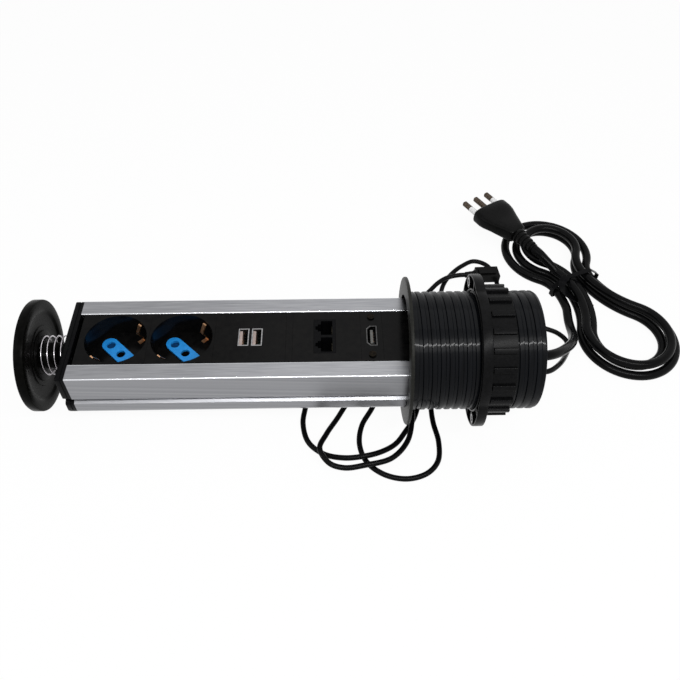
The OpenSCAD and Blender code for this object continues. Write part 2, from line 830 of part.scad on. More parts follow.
// A tapered strain relief with grooves round it
module strain_relief(len, base_r, tip_r, grooves) {
    collar = len * 0.15;
    step = (len - collar) / (grooves + 1);
    groove_w = step * 0.35;
    difference() {
        turned([
            [0, 0],
            [base_r, 0],
            [base_r, collar],
            [(base_r + tip_r) / 2, collar],
            [tip_r, len],
            [0, len]
        ]);
        for (i = [1:grooves]) {
            at = collar + i * step - groove_w / 2;
            floor_r = tip_r * 0.9;
            turned([
                [floor_r, at],
                [base_r + lap, at],
                [base_r + lap, at + groove_w],
                [floor_r, at + groove_w]
            ]);
        }
    }
}
module lead_gland() {
    color("#101010") lying() translate(lead_exit)
        strain_relief(gland_len, gland_r, mains_d / 2 + 1, 5);
}
module data_gland() {
    color("#101010") lying() translate(data_exit)
        strain_relief(data_gland_len, data_gland_r, data_d / 2 + 0.6, 1);
}

// Barrel with its flange; the thread is a row of ridges
flank = thread_depth * 0.7;
ridge_count = floor((barrel_len - neck_len - thread_pitch / 2) / thread_pitch);
module barrel() {
    ridges = [for (i = [0:ridge_count - 1])
        let (x = neck_len + (i + 0.4) * thread_pitch)
        each [
            [root_r, x],
            [thread_r, x + flank],
            [thread_r, x + flank + crest_w],
            [root_r, x + 2 * flank + crest_w]
        ]];
    color("#15161a") lying() turned(concat(
        [
            [bore_r, -flange_t + flange_edge / 2],
            [bore_r + flange_edge / 2, -flange_t],
            [flange_r - flange_edge, -flange_t],
            [flange_r, flange_rim],
            [flange_r, 0],
            [thread_r, 0],
            [thread_r, neck_len],
            [root_r, neck_len]
        ],
        ridges,
        [[root_r, barrel_len], [bore_r, barrel_len]]
    ));
}

// Clamp ring: an oval cup that opens towards the flange, with a metal insert in each ear
ring_bore_r = thread_r + thread_clear;
ring_r = ring_bore_r + ring_band;
ear_tip_r = ring_r + ear_reach;
ear_centre = ear_tip_r - ear_bend_r;
insert_inset = 0.8;
insert_at = ear_tip_r - ring_wall - insert_r - insert_inset;
boss_r = insert_r + ring_wall;
web_rib_w = 1.2;
web_rib_turn = 22;
module ring_outline(shrink) {
    circle(r = ring_r - shrink);
    for (s = [-1, 1]) {
        translate([0, s * ear_centre]) circle(r = ear_bend_r - shrink);
    }
}
module each_ear() {
    for (a = [0, 180]) rotate([a, 0, 0]) children();
}
// Hollow between the ring's two walls, cut short by the boss and the two ribs of each ear
module ring_hollow() {
    difference() {
        ring_outline(ring_wall);
        circle(r = ring_bore_r + ring_wall);
        for (a = [0, 180]) rotate(a) {
            translate([0, insert_at]) circle(r = boss_r);
            translate([-boss_r, 0]) square([2 * boss_r, insert_at]);
            for (turn = [-web_rib_turn, web_rib_turn]) {
                rotate(turn) translate([-web_rib_w / 2, 0]) square([web_rib_w, ear_tip_r]);
            }
        }
    }
}
module clamp_ring() {
    color("#17181b") lying() rotate([ear_turn, 0, 0]) difference() {
        along(ring_at, ring_t) ring_outline(0);
        along(ring_at - lap, ring_t - ring_web + lap) ring_hollow();
        rod(ring_at - lap, ring_t + 2 * lap, ring_bore_r);
        each_ear() translate([0, 0, insert_at]) rod(ring_at - lap, ring_t + 2 * lap, insert_r);
    }
}
module ear_inserts() {
    color("silver") lying() rotate([ear_turn, 0, 0]) each_ear() translate([0, 0, insert_at]) difference() {
        rod(ring_at, ring_t, insert_r - seat_clear / 10);
        rod(ring_at - lap, ring_t + 2 * lap, insert_hole_r);
    }
}

// Ribbed nut behind the ring
nut_gap = 0.1;
rib_inset = 0.6;
nut_at = ring_at + ring_t + nut_gap;
nut_r = ring_bore_r + nut_band;
module ring_nut() {
    color("#141518") lying() difference() {
        union() {
            rod(nut_at, nut_len, nut_r);
            for (i = [0:rib_count - 1]) rotate([i * 360 / rib_count, 0, 0])
                block(
                    [nut_at + rib_inset, -rib_w / 2, nut_r - 1],
                    [nut_at + nut_len - rib_inset, rib_w / 2, nut_r + rib_h]
                );
        }
        rod(nut_at - lap, nut_len + 2 * lap, ring_bore_r);
    }
}

// Hank: loops drawn in at the tie, spiralling in on the floor and out again on top.
// Each loop is two round lobes joined by hollow arcs at the waist.
hank_at = [239, 114];
hank_turn = -66;
loop_rings = 24;
turns_in = 1.75;
hank_turns = 3;
last_ring = hank_turns * loop_rings + 1;
strand_step = mains_d + 2.6;
layer_step = mains_d + 0.9;
hank_low = tie_t + 0.1 + mains_d / 2;
waist_r = 3 * mains_d;
waist_y = hank_waist + waist_r;
near_waist_r = 60;
near_waist_y = hank_waist + near_waist_r;
near_x = sqrt(pow(hank_near_r + near_waist_r, 2) - pow(near_waist_y, 2));
far_x = sqrt(pow(hank_far_r + waist_r, 2) - pow(waist_y, 2));
near_turn = atan(near_waist_y / near_x);
far_turn = atan(waist_y / far_x);
function hank_depth(s) = s < turns_in ? s : s < turns_in + 0.5 ? turns_in : 2 * turns_in + 0.5 - s;
function hank_layer(s) = min(1, max(0, (s - turns_in) / 0.5));
function arc_point(x, y, r, a) = [x + r * cos(a), y + r * sin(a)];
// Ring t of 24 on a loop that lies a distance inside the outermost one
function loop_point(t, inside) =
    t <= 2 ? arc_point(0, -waist_y, waist_r + inside, 90 + t / 2 * (90 - far_turn)) :
    t <= 10 ? arc_point(-far_x, 0, hank_far_r - inside, -far_turn - (t - 2) / 4 * (180 - far_turn)) :
    t <= 12 ? arc_point(0, waist_y, waist_r + inside, 270 - (12 - t) / 2 * (90 - far_turn)) :
    t <= 14 ? arc_point(0, near_waist_y, near_waist_r + inside, 270 + (t - 12) / 2 * (90 - near_turn)) :
    t <= 22 ? arc_point(near_x, 0, hank_near_r - inside, (18 - t) / 4 * (180 - near_turn)) :
    arc_point(0, -near_waist_y, near_waist_r + inside, 90 - (24 - t) / 2 * (90 - near_turn));
function hank_point(s) =
    let (p = loop_point((s - floor(s)) * loop_rings, hank_depth(s) * strand_step))
    [p.x, p.y, hank_low + layer_step * hank_layer(s)];
function hank_place(p) = [
    hank_at.x + p.x * cos(hank_turn) - p.y * sin(hank_turn),
    hank_at.y + p.x * sin(hank_turn) + p.y * cos(hank_turn),
    p.z
];
// The hank starts and ends one ring off the middle of its waist
start_flare = -10;
start_turn = (90 + near_turn) / 2 + start_flare;
end_turn = 180 - (90 + far_turn) / 2;
start_heading = [-sin(start_turn), cos(start_turn), 0];
end_heading = unit([-sin(end_turn), cos(end_turn), 0.43]);
hank_loops = [for (i = [-1:last_ring]) hank_point(i / loop_rings)];
hank_start = hank_loops[0] - mains_d * start_heading;
hank_end = hank_loops[len(hank_loops) - 1] + mains_d * end_heading;
hank_pts = [for (p = concat([hank_start], hank_loops, [hank_end])) hank_place(p)];
module mains_hank() {
    echo(hank_least_gap = least_gap(hank_pts, loop_rings / 2, mains_d));
    color("#0e0e0e") cord(hank_pts, mains_d, 6);
}

// Mains lead: from the strain relief to the hank
gland_tip = lead_exit + [gland_len, 0, 0];
lead_pts = concat(
    [lying_point(gland_tip), lying_point(gland_tip + [mains_d, 0, 0])],
    [
        [176.5, 0.6, 46.2], [183, 2.6, 45], [189, 6, 42.8], [195, 11, 39.6], [201, 17.5, 35.2],
        [206.8, 25, 29.6], [212, 33, 23.4], [216.5, 41.5, 17], [220, 50, 11.4], [222.1, 58.2, 7.2],
        [223, 65, 4.9]
    ],
    [hank_place(hank_start - mains_d * start_heading), hank_place(hank_start)]
);
module mains_lead() {
    color("#0e0e0e") cord(lead_pts, mains_d, 10);
}

// Tie round the waist of the hank
tie_round = 0.4;
tie_low_y = -hank_waist - mains_d / 2;
tie_high_y = hank_waist - strand_step / 2 + mains_d / 2 + 0.2;
tie_mid_z = hank_low + mains_d / 2 + 0.6;
tie_top_z = hank_low + layer_step + mains_d / 2 + 0.4;
tie_inner = [
    [tie_low_y, tie_t + tie_round],
    [tie_high_y, tie_t + tie_round],
    [tie_high_y, tie_mid_z],
    [tie_high_y - strand_step, tie_top_z],
    [tie_low_y + strand_step, tie_top_z],
    [tie_low_y, tie_mid_z]
];
module tie_outline(grow) {
    hull() for (p = tie_inner) translate(p) circle(r = tie_round + grow, $fn = 24);
}
module cord_tie() {
    color("#1a1a1a") translate([hank_at.x, hank_at.y, 0]) rotate([0, 0, hank_turn]) along(-tie_w / 2, tie_w)
        difference() {
            tie_outline(tie_t);
            tie_outline(0);
        }
}

// Plug on the hank's small loop
plug_face = [172.4, 187.6, 20];
plug_heading = 123;
module at_plug() {
    translate(plug_face) rotate([0, 0, plug_heading]) children();
}
function plug_point(x) = plug_face + x * [cos(plug_heading), sin(plug_heading), 0];
boot_tip = -plug_len - boot_len;
plug_lead_pts = concat(
    [hank_place(hank_end), hank_place(hank_end + mains_d * end_heading)],
    [plug_point(boot_tip - mains_d), plug_point(boot_tip)]
);
module plug_lead() {
    color("#0e0e0e") cord(plug_lead_pts, mains_d, 10);
}
module plug_slab(x, half_w, t) {
    translate([x, 0, 0]) rotate([0, 90, 0]) linear_extrude(0.5) {
        square([t - 4, 2 * half_w], center = true);
        square([t, 2 * half_w - 4], center = true);
    }
}
module plug_body() {
    color("#0d0d0d") at_plug() {
        hull() {
            plug_slab(-0.5, plug_half_w, plug_t);
            plug_slab(-plug_len * 0.5, plug_half_w, plug_t);
        }
        hull() {
            plug_slab(-plug_len * 0.5, plug_half_w, plug_t);
            plug_slab(-plug_len, plug_half_w * 0.45, plug_t - 2);
        }
    }
}
module plug_boot() {
    color("#0b0b0b") at_plug() translate([-plug_len, 0, 0]) mirror([1, 0, 0])
        strain_relief(boot_len, plug_t / 2 - 1, mains_d / 2 + 1, 5);
}
sleeve_fit = 0.02;
sleeve_t = 0.5;
pin_tip = 1.2;
outer_pin_ys = [-plug_pin_pitch, plug_pin_pitch];
module plug_pins() {
    color("#b9a27a") at_plug() {
        turned([
            [0, 0],
            [plug_pin_r, 0],
            [plug_pin_r, plug_pin_len - pin_tip],
            [plug_pin_r - pin_tip, plug_pin_len],
            [0, plug_pin_len]
        ]);
        for (y = outer_pin_ys) translate([0, y, 0]) turned([
            [0, 0],
            [plug_pin_r - sleeve_t, 0],
            [plug_pin_r - sleeve_t, pin_sleeve_len],
            [plug_pin_r, pin_sleeve_len],
            [plug_pin_r, plug_pin_len - pin_tip],
            [plug_pin_r - pin_tip, plug_pin_len],
            [0, plug_pin_len]
        ]);
    }
}
module pin_sleeves() {
    color("lightgrey") at_plug() for (y = outer_pin_ys) translate([0, y, 0]) difference() {
        rod(0, pin_sleeve_len, plug_pin_r);
        rod(-lap, pin_sleeve_len + 2 * lap, plug_pin_r - sleeve_t + sleeve_fit);
    }
}

// Data lead: out of the tower, back behind the barrel and in loops under the tower
data_gap = 0.05;
data_start = data_exit + [data_gland_len + data_gap, 0, 0];
data_plug_at = [154.3, 118.2, 8.2];
data_plug_turn = 5;
function data_plug_point(x) = data_plug_at + x * [cos(data_plug_turn), sin(data_plug_turn), 0];
data_pts = concat(
    [lying_point(data_start), lying_point(data_start + [data_d, 0, 0])],
    [
        [171.5, -7, 37], [184, -3, 34], [194.5, 7, 28], [211.5, 33, 9], [217, 44, 3], [218, 53.5, 2],
        [212.5, 61, 2], [202.5, 66, 2], [188, 73, 2], [177, 86.5, 2], [173, 101.5, 2], [172.5, 118, 2],
        [167.5, 135.5, 2], [157, 140.5, 2], [146, 134.5, 2], [135, 123.5, 2], [127.5, 111.5, 2],
        [122.5, 93, 2], [112, 29, 2], [107.5, 6.5, 2], [105, -13, 2], [105.3, -26, 2],
        [107.5, -41.5, 2], [105.5, -57, 2], [97.5, -66.5, 2], [83.5, -71, 2], [68.5, -68, 2],
        [57, -58.5, 2], [52.5, -45, 2], [54.5, -29.5, 2], [63, -13, 2], [69.5, 5, 2], [70.5, 25.5, 2],
        [63.5, 44, 2], [50.5, 55, 2], [34, 55.5, 2], [20.5, 43.5, 2], [15.5, 23.5, 2], [16, -7, 2],
        [13.5, -28, 2], [17.5, -43.5, 2], [28, -53, 2.6], [41.5, -57.5, 5.4], [54.5, -57, 7],
        [67, -52, 5], [77.5, -44, 2.6], [85, -33.5, 2], [92, -22, 2], [97, -6, 2], [100, 15, 2],
        [103.3, 27, 2], [103.5, 35, 2], [101, 40.9, 2], [95.2, 43.3, 2], [89.4, 40.9, 2], [87, 35, 2],
        [88, 26, 2], [89.8, 13, 2], [91, 0, 3.6], [90.5, -15, 6.6], [89.5, -27.5, 7.2], [85.5, -43, 5],
        [73.5, -57.5, 5.8], [55, -64, 7.2], [41.5, -65.5, 6], [31.5, -62.5, 6.6], [25, -52, 7.6],
        [29.5, -39, 5.4], [38.5, -21.5, 2], [50, 1, 2],
        [57, 23.5, 3.4], [64, 41, 7.2], [73, 53, 4.6], [87, 70.5, 2], [108, 95, 2], [115.5, 103, 3.8],
        [122, 109.5, 5.6], [128.5, 114.3, 6.4], [135, 116.5, 7.2]
    ],
    [data_plug_point(-data_boot_len - data_d), data_plug_point(-data_boot_len)]
);
module data_lead() {
    color("#101010") cord(data_pts, data_d, 8);
}
module at_data_plug() {
    translate(data_plug_at) rotate([0, 0, data_plug_turn]) children();
}
module data_boot() {
    color("#0e0e0e") at_data_plug() mirror([1, 0, 0])
        strain_relief(data_boot_len, data_plug_t / 2, data_d / 2 + 0.5, 2);
}
module data_plug() {
    latch_t = 1.2;
    color("#202020") at_data_plug() {
        block(
            [0, -data_plug_w / 2, -data_plug_t / 2],
            [data_plug_len, data_plug_w / 2, data_plug_t / 2 - latch_t]
        );
        block(
            [2, -data_plug_w / 4, data_plug_t / 2 - latch_t - lap],
            [data_plug_len - 3, data_plug_w / 4, data_plug_t / 2]
        );
    }
}

barrel();
clamp_ring();
ear_inserts();
ring_nut();
profile();
top_cap();
top_cap_screws();
bottom_cap();
bottom_cap_screws();
lid();
lid_screw();
lid_spring();
socket_a();
socket_b();
pin_cover(socket_a_x);  // pin_cover_a
pin_cover(socket_b_x);  // pin_cover_b
shutter(socket_a_x);  // shutter_a
shutter(socket_b_x);  // shutter_b
earth_clips(socket_a_x);  // earth_clips_a
earth_clips(socket_b_x);  // earth_clips_b
contacts(socket_a_x);  // contacts_a
contacts(socket_b_x);  // contacts_b
supply_wires();
usb_plate();
usb_ports();
usb_tongues();
usb_board();
spacer_plate();
network_plate();
network_jacks();
jack_contacts();
hdmi_plate();
hdmi_socket();
hdmi_tongue();
hdmi_screws();
blank_cover();
lead_gland();
mains_lead();
mains_hank();
cord_tie();
plug_lead();
plug_boot();
plug_body();
plug_pins();
pin_sleeves();
data_gland();
data_lead();
data_boot();
data_plug();
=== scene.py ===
import json
import math

import bmesh
import bpy
from mathutils import Matrix, Vector


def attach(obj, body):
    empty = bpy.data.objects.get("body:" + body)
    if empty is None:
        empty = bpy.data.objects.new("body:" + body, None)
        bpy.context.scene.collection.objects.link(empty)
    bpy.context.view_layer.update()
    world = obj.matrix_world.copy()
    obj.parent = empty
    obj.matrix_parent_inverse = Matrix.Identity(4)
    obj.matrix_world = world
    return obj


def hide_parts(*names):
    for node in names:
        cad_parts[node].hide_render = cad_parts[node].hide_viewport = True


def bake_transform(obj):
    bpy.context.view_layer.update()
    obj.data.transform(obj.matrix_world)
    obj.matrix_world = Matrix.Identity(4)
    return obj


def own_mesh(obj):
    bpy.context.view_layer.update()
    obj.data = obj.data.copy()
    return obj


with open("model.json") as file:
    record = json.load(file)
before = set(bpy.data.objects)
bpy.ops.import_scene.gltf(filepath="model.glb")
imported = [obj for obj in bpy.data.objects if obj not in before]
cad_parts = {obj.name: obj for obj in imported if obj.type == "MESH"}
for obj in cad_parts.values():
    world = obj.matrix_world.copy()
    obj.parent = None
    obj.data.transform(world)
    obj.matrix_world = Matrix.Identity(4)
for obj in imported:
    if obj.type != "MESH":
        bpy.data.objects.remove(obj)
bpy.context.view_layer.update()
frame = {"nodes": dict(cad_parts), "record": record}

nodes = frame["nodes"]

# Device frame in millimetres: X along the axis towards the cords, Z out of the outlet face
MM = 0.001
TILT = math.radians(2.8601)
FLANGE_AT = (0.0826869, 0, 0.0499898)
LYING = Matrix.Translation(FLANGE_AT) @ Matrix.Rotation(-TILT, 4, "Y") @ Matrix.Scale(MM, 4)
FLOOR = Matrix.Scale(MM, 4)


def smooth(x):
    x = min(max(x, 0.0), 1.0)
    return x * x * (3 - 2 * x)


# Camera, fitted to the straight and round outlines of the photograph
CAMERA_AT = (0.0118901, -0.3200509, 0.4355732)
camera = bpy.data.cameras.new("camera")
camera.lens = 39.343
camera.sensor_width = 36
camera.clip_start = 0.01
camera_object = bpy.data.objects.new("camera", camera)
right = Vector((0.9985261, -0.0176823, 0.0513115))
down = Vector((0.0197808, -0.7618344, -0.6474697))
ahead = Vector((0.0505397, 0.6475304, -0.7603618))
turn = Matrix((right, -down, -ahead)).transposed().to_4x4()
camera_object.matrix_world = Matrix.Translation(CAMERA_AT) @ turn
bpy.context.scene.collection.objects.link(camera_object)
bpy.context.scene.camera = camera_object


# Materials
def link(tree, a, b):
    tree.links.new(a, b)


def material(name, dark, light, rough=(0.3, 0.45), metal=0.0, scale=400.0, stretch=(1, 1, 1), bump=0.05,
             depth=0.00005, specular=0.5, coat=0.0, coat_rough=0.1, detail=4.0):
    """Two shades and two roughnesses mixed by a noise in the row frame, turned to the device's axis."""
    m = bpy.data.materials.new(name)
    m.use_nodes = True
    t = m.node_tree
    shader = t.nodes["Principled BSDF"]
    coord = t.nodes.new("ShaderNodeTexCoord")
    mapping = t.nodes.new("ShaderNodeMapping")
    mapping.inputs["Rotation"].default_value = (0, TILT, 0)
    mapping.inputs["Scale"].default_value = stretch
    noise = t.nodes.new("ShaderNodeTexNoise")
    noise.inputs["Scale"].default_value = scale
    noise.inputs["Detail"].default_value = detail
    link(t, coord.outputs["Object"], mapping.inputs["Vector"])
    link(t, mapping.outputs["Vector"], noise.inputs["Vector"])
    ramp = t.nodes.new("ShaderNodeValToRGB")
    ramp.color_ramp.elements[0].position = 0.3
    ramp.color_ramp.elements[0].color = (*dark, 1)
    ramp.color_ramp.elements[1].position = 0.7
    ramp.color_ramp.elements[1].color = (*light, 1)
    link(t, noise.outputs["Fac"], ramp.inputs["Fac"])
    link(t, ramp.outputs["Color"], shader.inputs["Base Color"])
    span = t.nodes.new("ShaderNodeMapRange")
    span.inputs["To Min"].default_value = rough[0]
    span.inputs["To Max"].default_value = rough[1]
    link(t, noise.outputs["Fac"], span.inputs["Value"])
    link(t, span.outputs["Result"], shader.inputs["Roughness"])
    shader.inputs["Metallic"].default_value = metal
    shader.inputs["Specular IOR Level"].default_value = specular
    if coat:
        shader.inputs["Coat Weight"].default_value = coat
        shader.inputs["Coat Roughness"].default_value = coat_rough
    if bump:
        b = t.nodes.new("ShaderNodeBump")
        b.inputs["Strength"].default_value = bump
        b.inputs["Distance"].default_value = depth
        link(t, noise.outputs["Fac"], b.inputs["Height"])
        link(t, b.outputs["Normal"], shader.inputs["Normal"])
    return m


finishes = {
    "barrel_plastic": material(
        "barrel_gloss", (0.0008, 0.0010, 0.0016), (0.0026, 0.0031, 0.0044), (0.26, 0.40), specular=0.035,
        scale=900,
        stretch=(1, 0.02, 0.02), bump=0.30, depth=0.0001, coat=0.12, coat_rough=0.09),
    "flange_satin": material(
        "flange_satin", (0.008, 0.008, 0.007), (0.014, 0.014, 0.012), (0.36, 0.48), scale=700, specular=0.10),
    "clamp_plastic": material(
        "clamp_satin", (0.0020, 0.0020, 0.0022), (0.0042, 0.0042, 0.0046), (0.22, 0.34),
        scale=600, specular=0.06),
    "strip_plastic": material(
        "strip_gloss", (0.0018, 0.0018, 0.0020), (0.0044, 0.0042, 0.0041), (0.12, 0.22),
        scale=250, specular=0.06),
    "cap_plastic": material(
        "cap_black", (0.0014, 0.0014, 0.0018), (0.0034, 0.0034, 0.0039), (0.20, 0.32),
        scale=500, specular=0.04),
    "lid_black": material(
        "lid_black", (0.0012, 0.0012, 0.0011), (0.0030, 0.0029, 0.0026), (0.22, 0.34),
        scale=300, specular=0.02),
    "aluminium": material(
        "brushed_aluminium", (0.235, 0.238, 0.252), (0.315, 0.318, 0.332), (0.24, 0.36), metal=1.0, scale=950,
        stretch=(0.0004, 1, 1), bump=0.10),
    # A lighter, smoother copy of the aluminium for the edge beads: painted highlight
    "painted_highlight_edge": material(
        "painted_highlight_edge", (0.66, 0.67, 0.70), (0.82, 0.83, 0.86), (0.16, 0.28), metal=1.0, scale=950,
        stretch=(0.002, 1, 1)),
    "steel": material("steel", (0.34, 0.34, 0.35), (0.50, 0.50, 0.51), (0.25, 0.40), metal=1.0, scale=900),
    "spring_steel": material(
        "spring_steel", (0.46, 0.44, 0.46), (0.62, 0.59, 0.62), (0.16, 0.28), metal=1.0, scale=900),
    "port_metal": material(
        "port_metal", (0.20, 0.20, 0.205), (0.34, 0.335, 0.335), (0.20, 0.34), metal=1.0, scale=900),
    "blue_plastic": material(
        "blue_plastic", (0.010, 0.200, 0.560), (0.016, 0.250, 0.660), (0.32, 0.44), scale=500, specular=0.3),
    "copper": material("copper", (0.50, 0.26, 0.13), (0.72, 0.42, 0.24), (0.22, 0.38), metal=1.0, scale=900),
    "brass": material("brass", (0.55, 0.38, 0.13), (0.72, 0.54, 0.22), (0.24, 0.40), metal=1.0, scale=900),
    "board": material(
        "board", (0.003, 0.012, 0.007), (0.006, 0.020, 0.011), (0.40, 0.55), scale=900, specular=0.1),
    "wire": material("wire", (0.050, 0.022, 0.012), (0.080, 0.040, 0.020), (0.40, 0.55), scale=600),
    "cord_black": material(
        "cord_black", (0.0012, 0.0012, 0.0014), (0.0026, 0.0026, 0.0029), (0.22, 0.27),
        scale=200, specular=0.06,
        bump=0.0),
    "plug_plastic": material(
        "plug_black", (0.0016, 0.0016, 0.0016), (0.0040, 0.0040, 0.0040), (0.24, 0.36),
        scale=700, specular=0.06),
    "pin_metal": material(
        "pin_metal", (0.030, 0.023, 0.018), (0.110, 0.085, 0.066), (0.28, 0.42), metal=1.0, scale=900),
    "pale_plastic": material("pale_plastic", (0.66, 0.66, 0.66), (0.80, 0.80, 0.80), (0.40, 0.52), scale=800),
}
dark_screw = material(
    "dark_screw", (0.004, 0.0034, 0.003), (0.014, 0.011, 0.008), (0.28, 0.42), metal=1.0, scale=900)
display_metal = material(
    "display_metal", (0.045, 0.045, 0.047), (0.100, 0.099, 0.097), (0.26, 0.40), metal=1.0, scale=900)
dark_contact = material(
    "dark_contact", (0.020, 0.018, 0.014), (0.060, 0.052, 0.040), (0.26, 0.40), metal=1.0, scale=900)
# The cover's blue made much darker for the shutters: painted shade deep in their wells
painted_shade_blue = material(
    "painted_shade_blue", (0.0016, 0.026, 0.085), (0.0022, 0.034, 0.110), (0.36, 0.48), scale=500, specular=0.1)
node_finish = {part["node"]: finishes[part["material_slot"]] for part in frame["record"]["subparts"]}
node_finish["hdmi_screws"] = dark_screw
node_finish["hdmi_socket"] = display_metal
node_finish["jack_contacts"] = dark_contact
# Shutters get the blue with painted shade
node_finish["shutter_a"] = node_finish["shutter_b"] = painted_shade_blue
for name, finish in node_finish.items():
    nodes[name].data.materials.clear()
    nodes[name].data.materials.append(finish)


# Mesh helpers
def piece(name, bm, body, slot, hides=(), mats=None, place=LYING, bevel=0.0, angle=35, segments=3):
    """A mesh in the row frame that rides on a body and stands for the named CAD nodes."""
    bm.transform(place)
    bmesh.ops.recalc_face_normals(bm, faces=bm.faces)
    mesh = bpy.data.meshes.new(name)
    bm.to_mesh(mesh)
    bm.free()
    mesh.shade_smooth()
    mesh.set_sharp_from_angle(angle=math.radians(angle))
    obj = bpy.data.objects.new(name, mesh)
    bpy.context.scene.collection.objects.link(obj)
    for m in mats or [finishes[slot]]:
        mesh.materials.append(m)
    if bevel:
        b = obj.modifiers.new("edges", "BEVEL")
        b.width = bevel * MM
        b.segments = segments
        b.limit_method = "ANGLE"
        b.angle_limit = math.radians(angle)
        b.harden_normals = True
    if body:
        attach(obj, body)
    if hides:
        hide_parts(*hides)
    return obj


def rings(bm, columns, close_ring=True, close_column=False, cap=False):
    """Quads between neighbouring columns of points; each column has the same number of points."""
    grid = [[bm.verts.new(p) for p in column] for column in columns]
    n = len(grid)
    k = len(grid[0])
    for i in range(n if close_column else n - 1):
        a = grid[i]
        b = grid[(i + 1) % n]
        for j in range(k if close_ring else k - 1):
            q = [a[j], b[j], b[(j + 1) % k], a[(j + 1) % k]]
            bm.faces.new(q)
    if cap:
        bm.faces.new(grid[0])
        bm.faces.new(grid[-1])
    return grid


def turned(bm, outline, steps=128, start=0.0):
    """A closed outline of (station, radius) turned about the axis."""
    columns = []
    for i in range(steps):
        a = start + 2 * math.pi * i / steps
        columns.append([(u, r * math.cos(a), r * math.sin(a)) for u, r in outline])
    rings(bm, columns, close_ring=True, close_column=True)
    bmesh.ops.remove_doubles(bm, verts=bm.verts, dist=1e-5)


def rounded(points, radius, steps=4):
    """An outline with each corner rounded."""
    out = []
    n = len(points)
    for i, p in enumerate(points):
        p = Vector(p)
        a = Vector(points[i - 1]) - p
        b = Vector(points[(i + 1) % n]) - p
        d = min(radius, a.length * 0.45, b.length * 0.45)
        p0 = p + a.normalized() * d
        p1 = p + b.normalized() * d
        for s in range(steps + 1):
            f = s / steps
            out.append(tuple((1 - f) ** 2 * p0 + 2 * f * (1 - f) * p + f * f * p1))
    return out


def extruded(bm, outline, low, high, lift):
    """A closed outline of pairs carried from low to high; lift turns a pair and a height into a point."""
    rings(bm, [[lift(p, h) for p in outline] for h in (low, high)], cap=True)


def circle(y, z, r, n=24):
    """Points round a circle, in the plane across the axis."""
    return [(y + r * math.cos(2 * math.pi * i / n), z + r * math.sin(2 * math.pi * i / n)) for i in range(n)]


def filled(bm, *loops):
    """A flat face between closed loops of vertices."""
    pairs = [pair for loop in loops for pair in zip(loop, loop[1:] + loop[:1])]
    edges = [bm.edges.get(pair) or bm.edges.new(pair) for pair in pairs]
    bmesh.ops.triangle_fill(bm, use_beauty=True, edges=edges)


def tube(bm, path, radius, sides=16, ends=True):
    """A round tube along points, its rings turned as little as possible."""
    pts = [Vector(p) for p in path]
    n = len(pts)
    radii = radius if isinstance(radius, (list, tuple)) else [radius] * n
    ref = Vector((0, 0, 1))
    columns = []
    for i, p in enumerate(pts):
        t = (pts[min(i + 1, n - 1)] - pts[max(i - 1, 0)]).normalized()
        side = t.cross(ref)
        if side.length < 0.05:
            side = t.cross(Vector((0, 1, 0)))
        side.normalize()
        ref = side.cross(t).normalized()
        turns = [2 * math.pi * j / sides for j in range(sides)]
        columns.append([p + radii[i] * (math.cos(a) * side + math.sin(a) * ref) for a in turns])
    rings(bm, columns, cap=ends)


def spline(points, step=2.0, head=None, tail=None):
    """Points along a smooth curve through the given ones; head and tail are the points beyond its ends."""
    pts = [Vector(p) for p in points]
    before = Vector(head) if head else 2 * pts[0] - pts[1]
    after = Vector(tail) if tail else 2 * pts[-1] - pts[-2]
    full = [before] + pts + [after]
    out = []
    for i in range(1, len(full) - 2):
        p0, p1, p2, p3 = full[i - 1:i + 3]
        t0 = 0.0
        t1 = t0 + math.sqrt((p1 - p0).length)
        t2 = t1 + math.sqrt((p2 - p1).length)
        t3 = t2 + math.sqrt((p3 - p2).length)
        n = max(2, int((p2 - p1).length / step))
        for s in range(n):
            t = t1 + (t2 - t1) * s / n
            a1 = p0.lerp(p1, (t - t0) / (t1 - t0))
            a2 = p1.lerp(p2, (t - t1) / (t2 - t1))
            a3 = p2.lerp(p3, (t - t2) / (t3 - t2))
            b1 = a1.lerp(a2, (t - t0) / (t2 - t0))
            b2 = a2.lerp(a3, (t - t1) / (t3 - t1))
            out.append(b1.lerp(b2, (t - t1) / (t2 - t1)))
    out.append(pts[-1])
    return out


# Mains lead: free stretch, hank and stretch to the plug as one tube
MAINS_D = 7.0
mains_route = [
    (162.99, 0, 45.99), (169.98, 0, 46.34), (176.5, 0.6, 46.2), (183, 2.6, 45), (189, 6, 42.8),
    (195, 11, 39.6), (201, 17.5, 35.2), (206.8, 25, 29.6), (212, 33, 23.4), (216.5, 41.5, 17),
    (220, 50, 11.4), (222.1, 58.2, 7.2), (223, 65, 4.9), (223.343, 71.862, 4.4),
]
hank_start = (224.02, 78.83, 4.4)
hank_end = (217.0, 123.4, 15.07)
plug_route = [(212.4, 127.8, 17.8), (207.8, 133.1, 20), (204.0, 139.0, 20)]
NEAR_R, FAR_R, WAIST, NEAR_WAIST_R, WAIST_R = 44.0, 38.0, 20.7, 60.0, 21.0
STRAND, LAYER, LOW, TURNS_IN, CLIMB, TURNS = 9.6, 7.9, 4.4, 1.75, 0.5, 3
WAIST_Y = WAIST + WAIST_R
NEAR_WAIST_Y = WAIST + NEAR_WAIST_R
NEAR_X = math.sqrt((NEAR_R + NEAR_WAIST_R) ** 2 - NEAR_WAIST_Y ** 2)
FAR_X = math.sqrt((FAR_R + WAIST_R) ** 2 - WAIST_Y ** 2)
NEAR_TURN = math.degrees(math.atan(NEAR_WAIST_Y / NEAR_X))
FAR_TURN = math.degrees(math.atan(WAIST_Y / FAR_X))


def arc(x, y, r, a):
    """A point on a circle, at an angle in degrees."""
    return Vector((x + r * math.cos(math.radians(a)), y + r * math.sin(math.radians(a))))


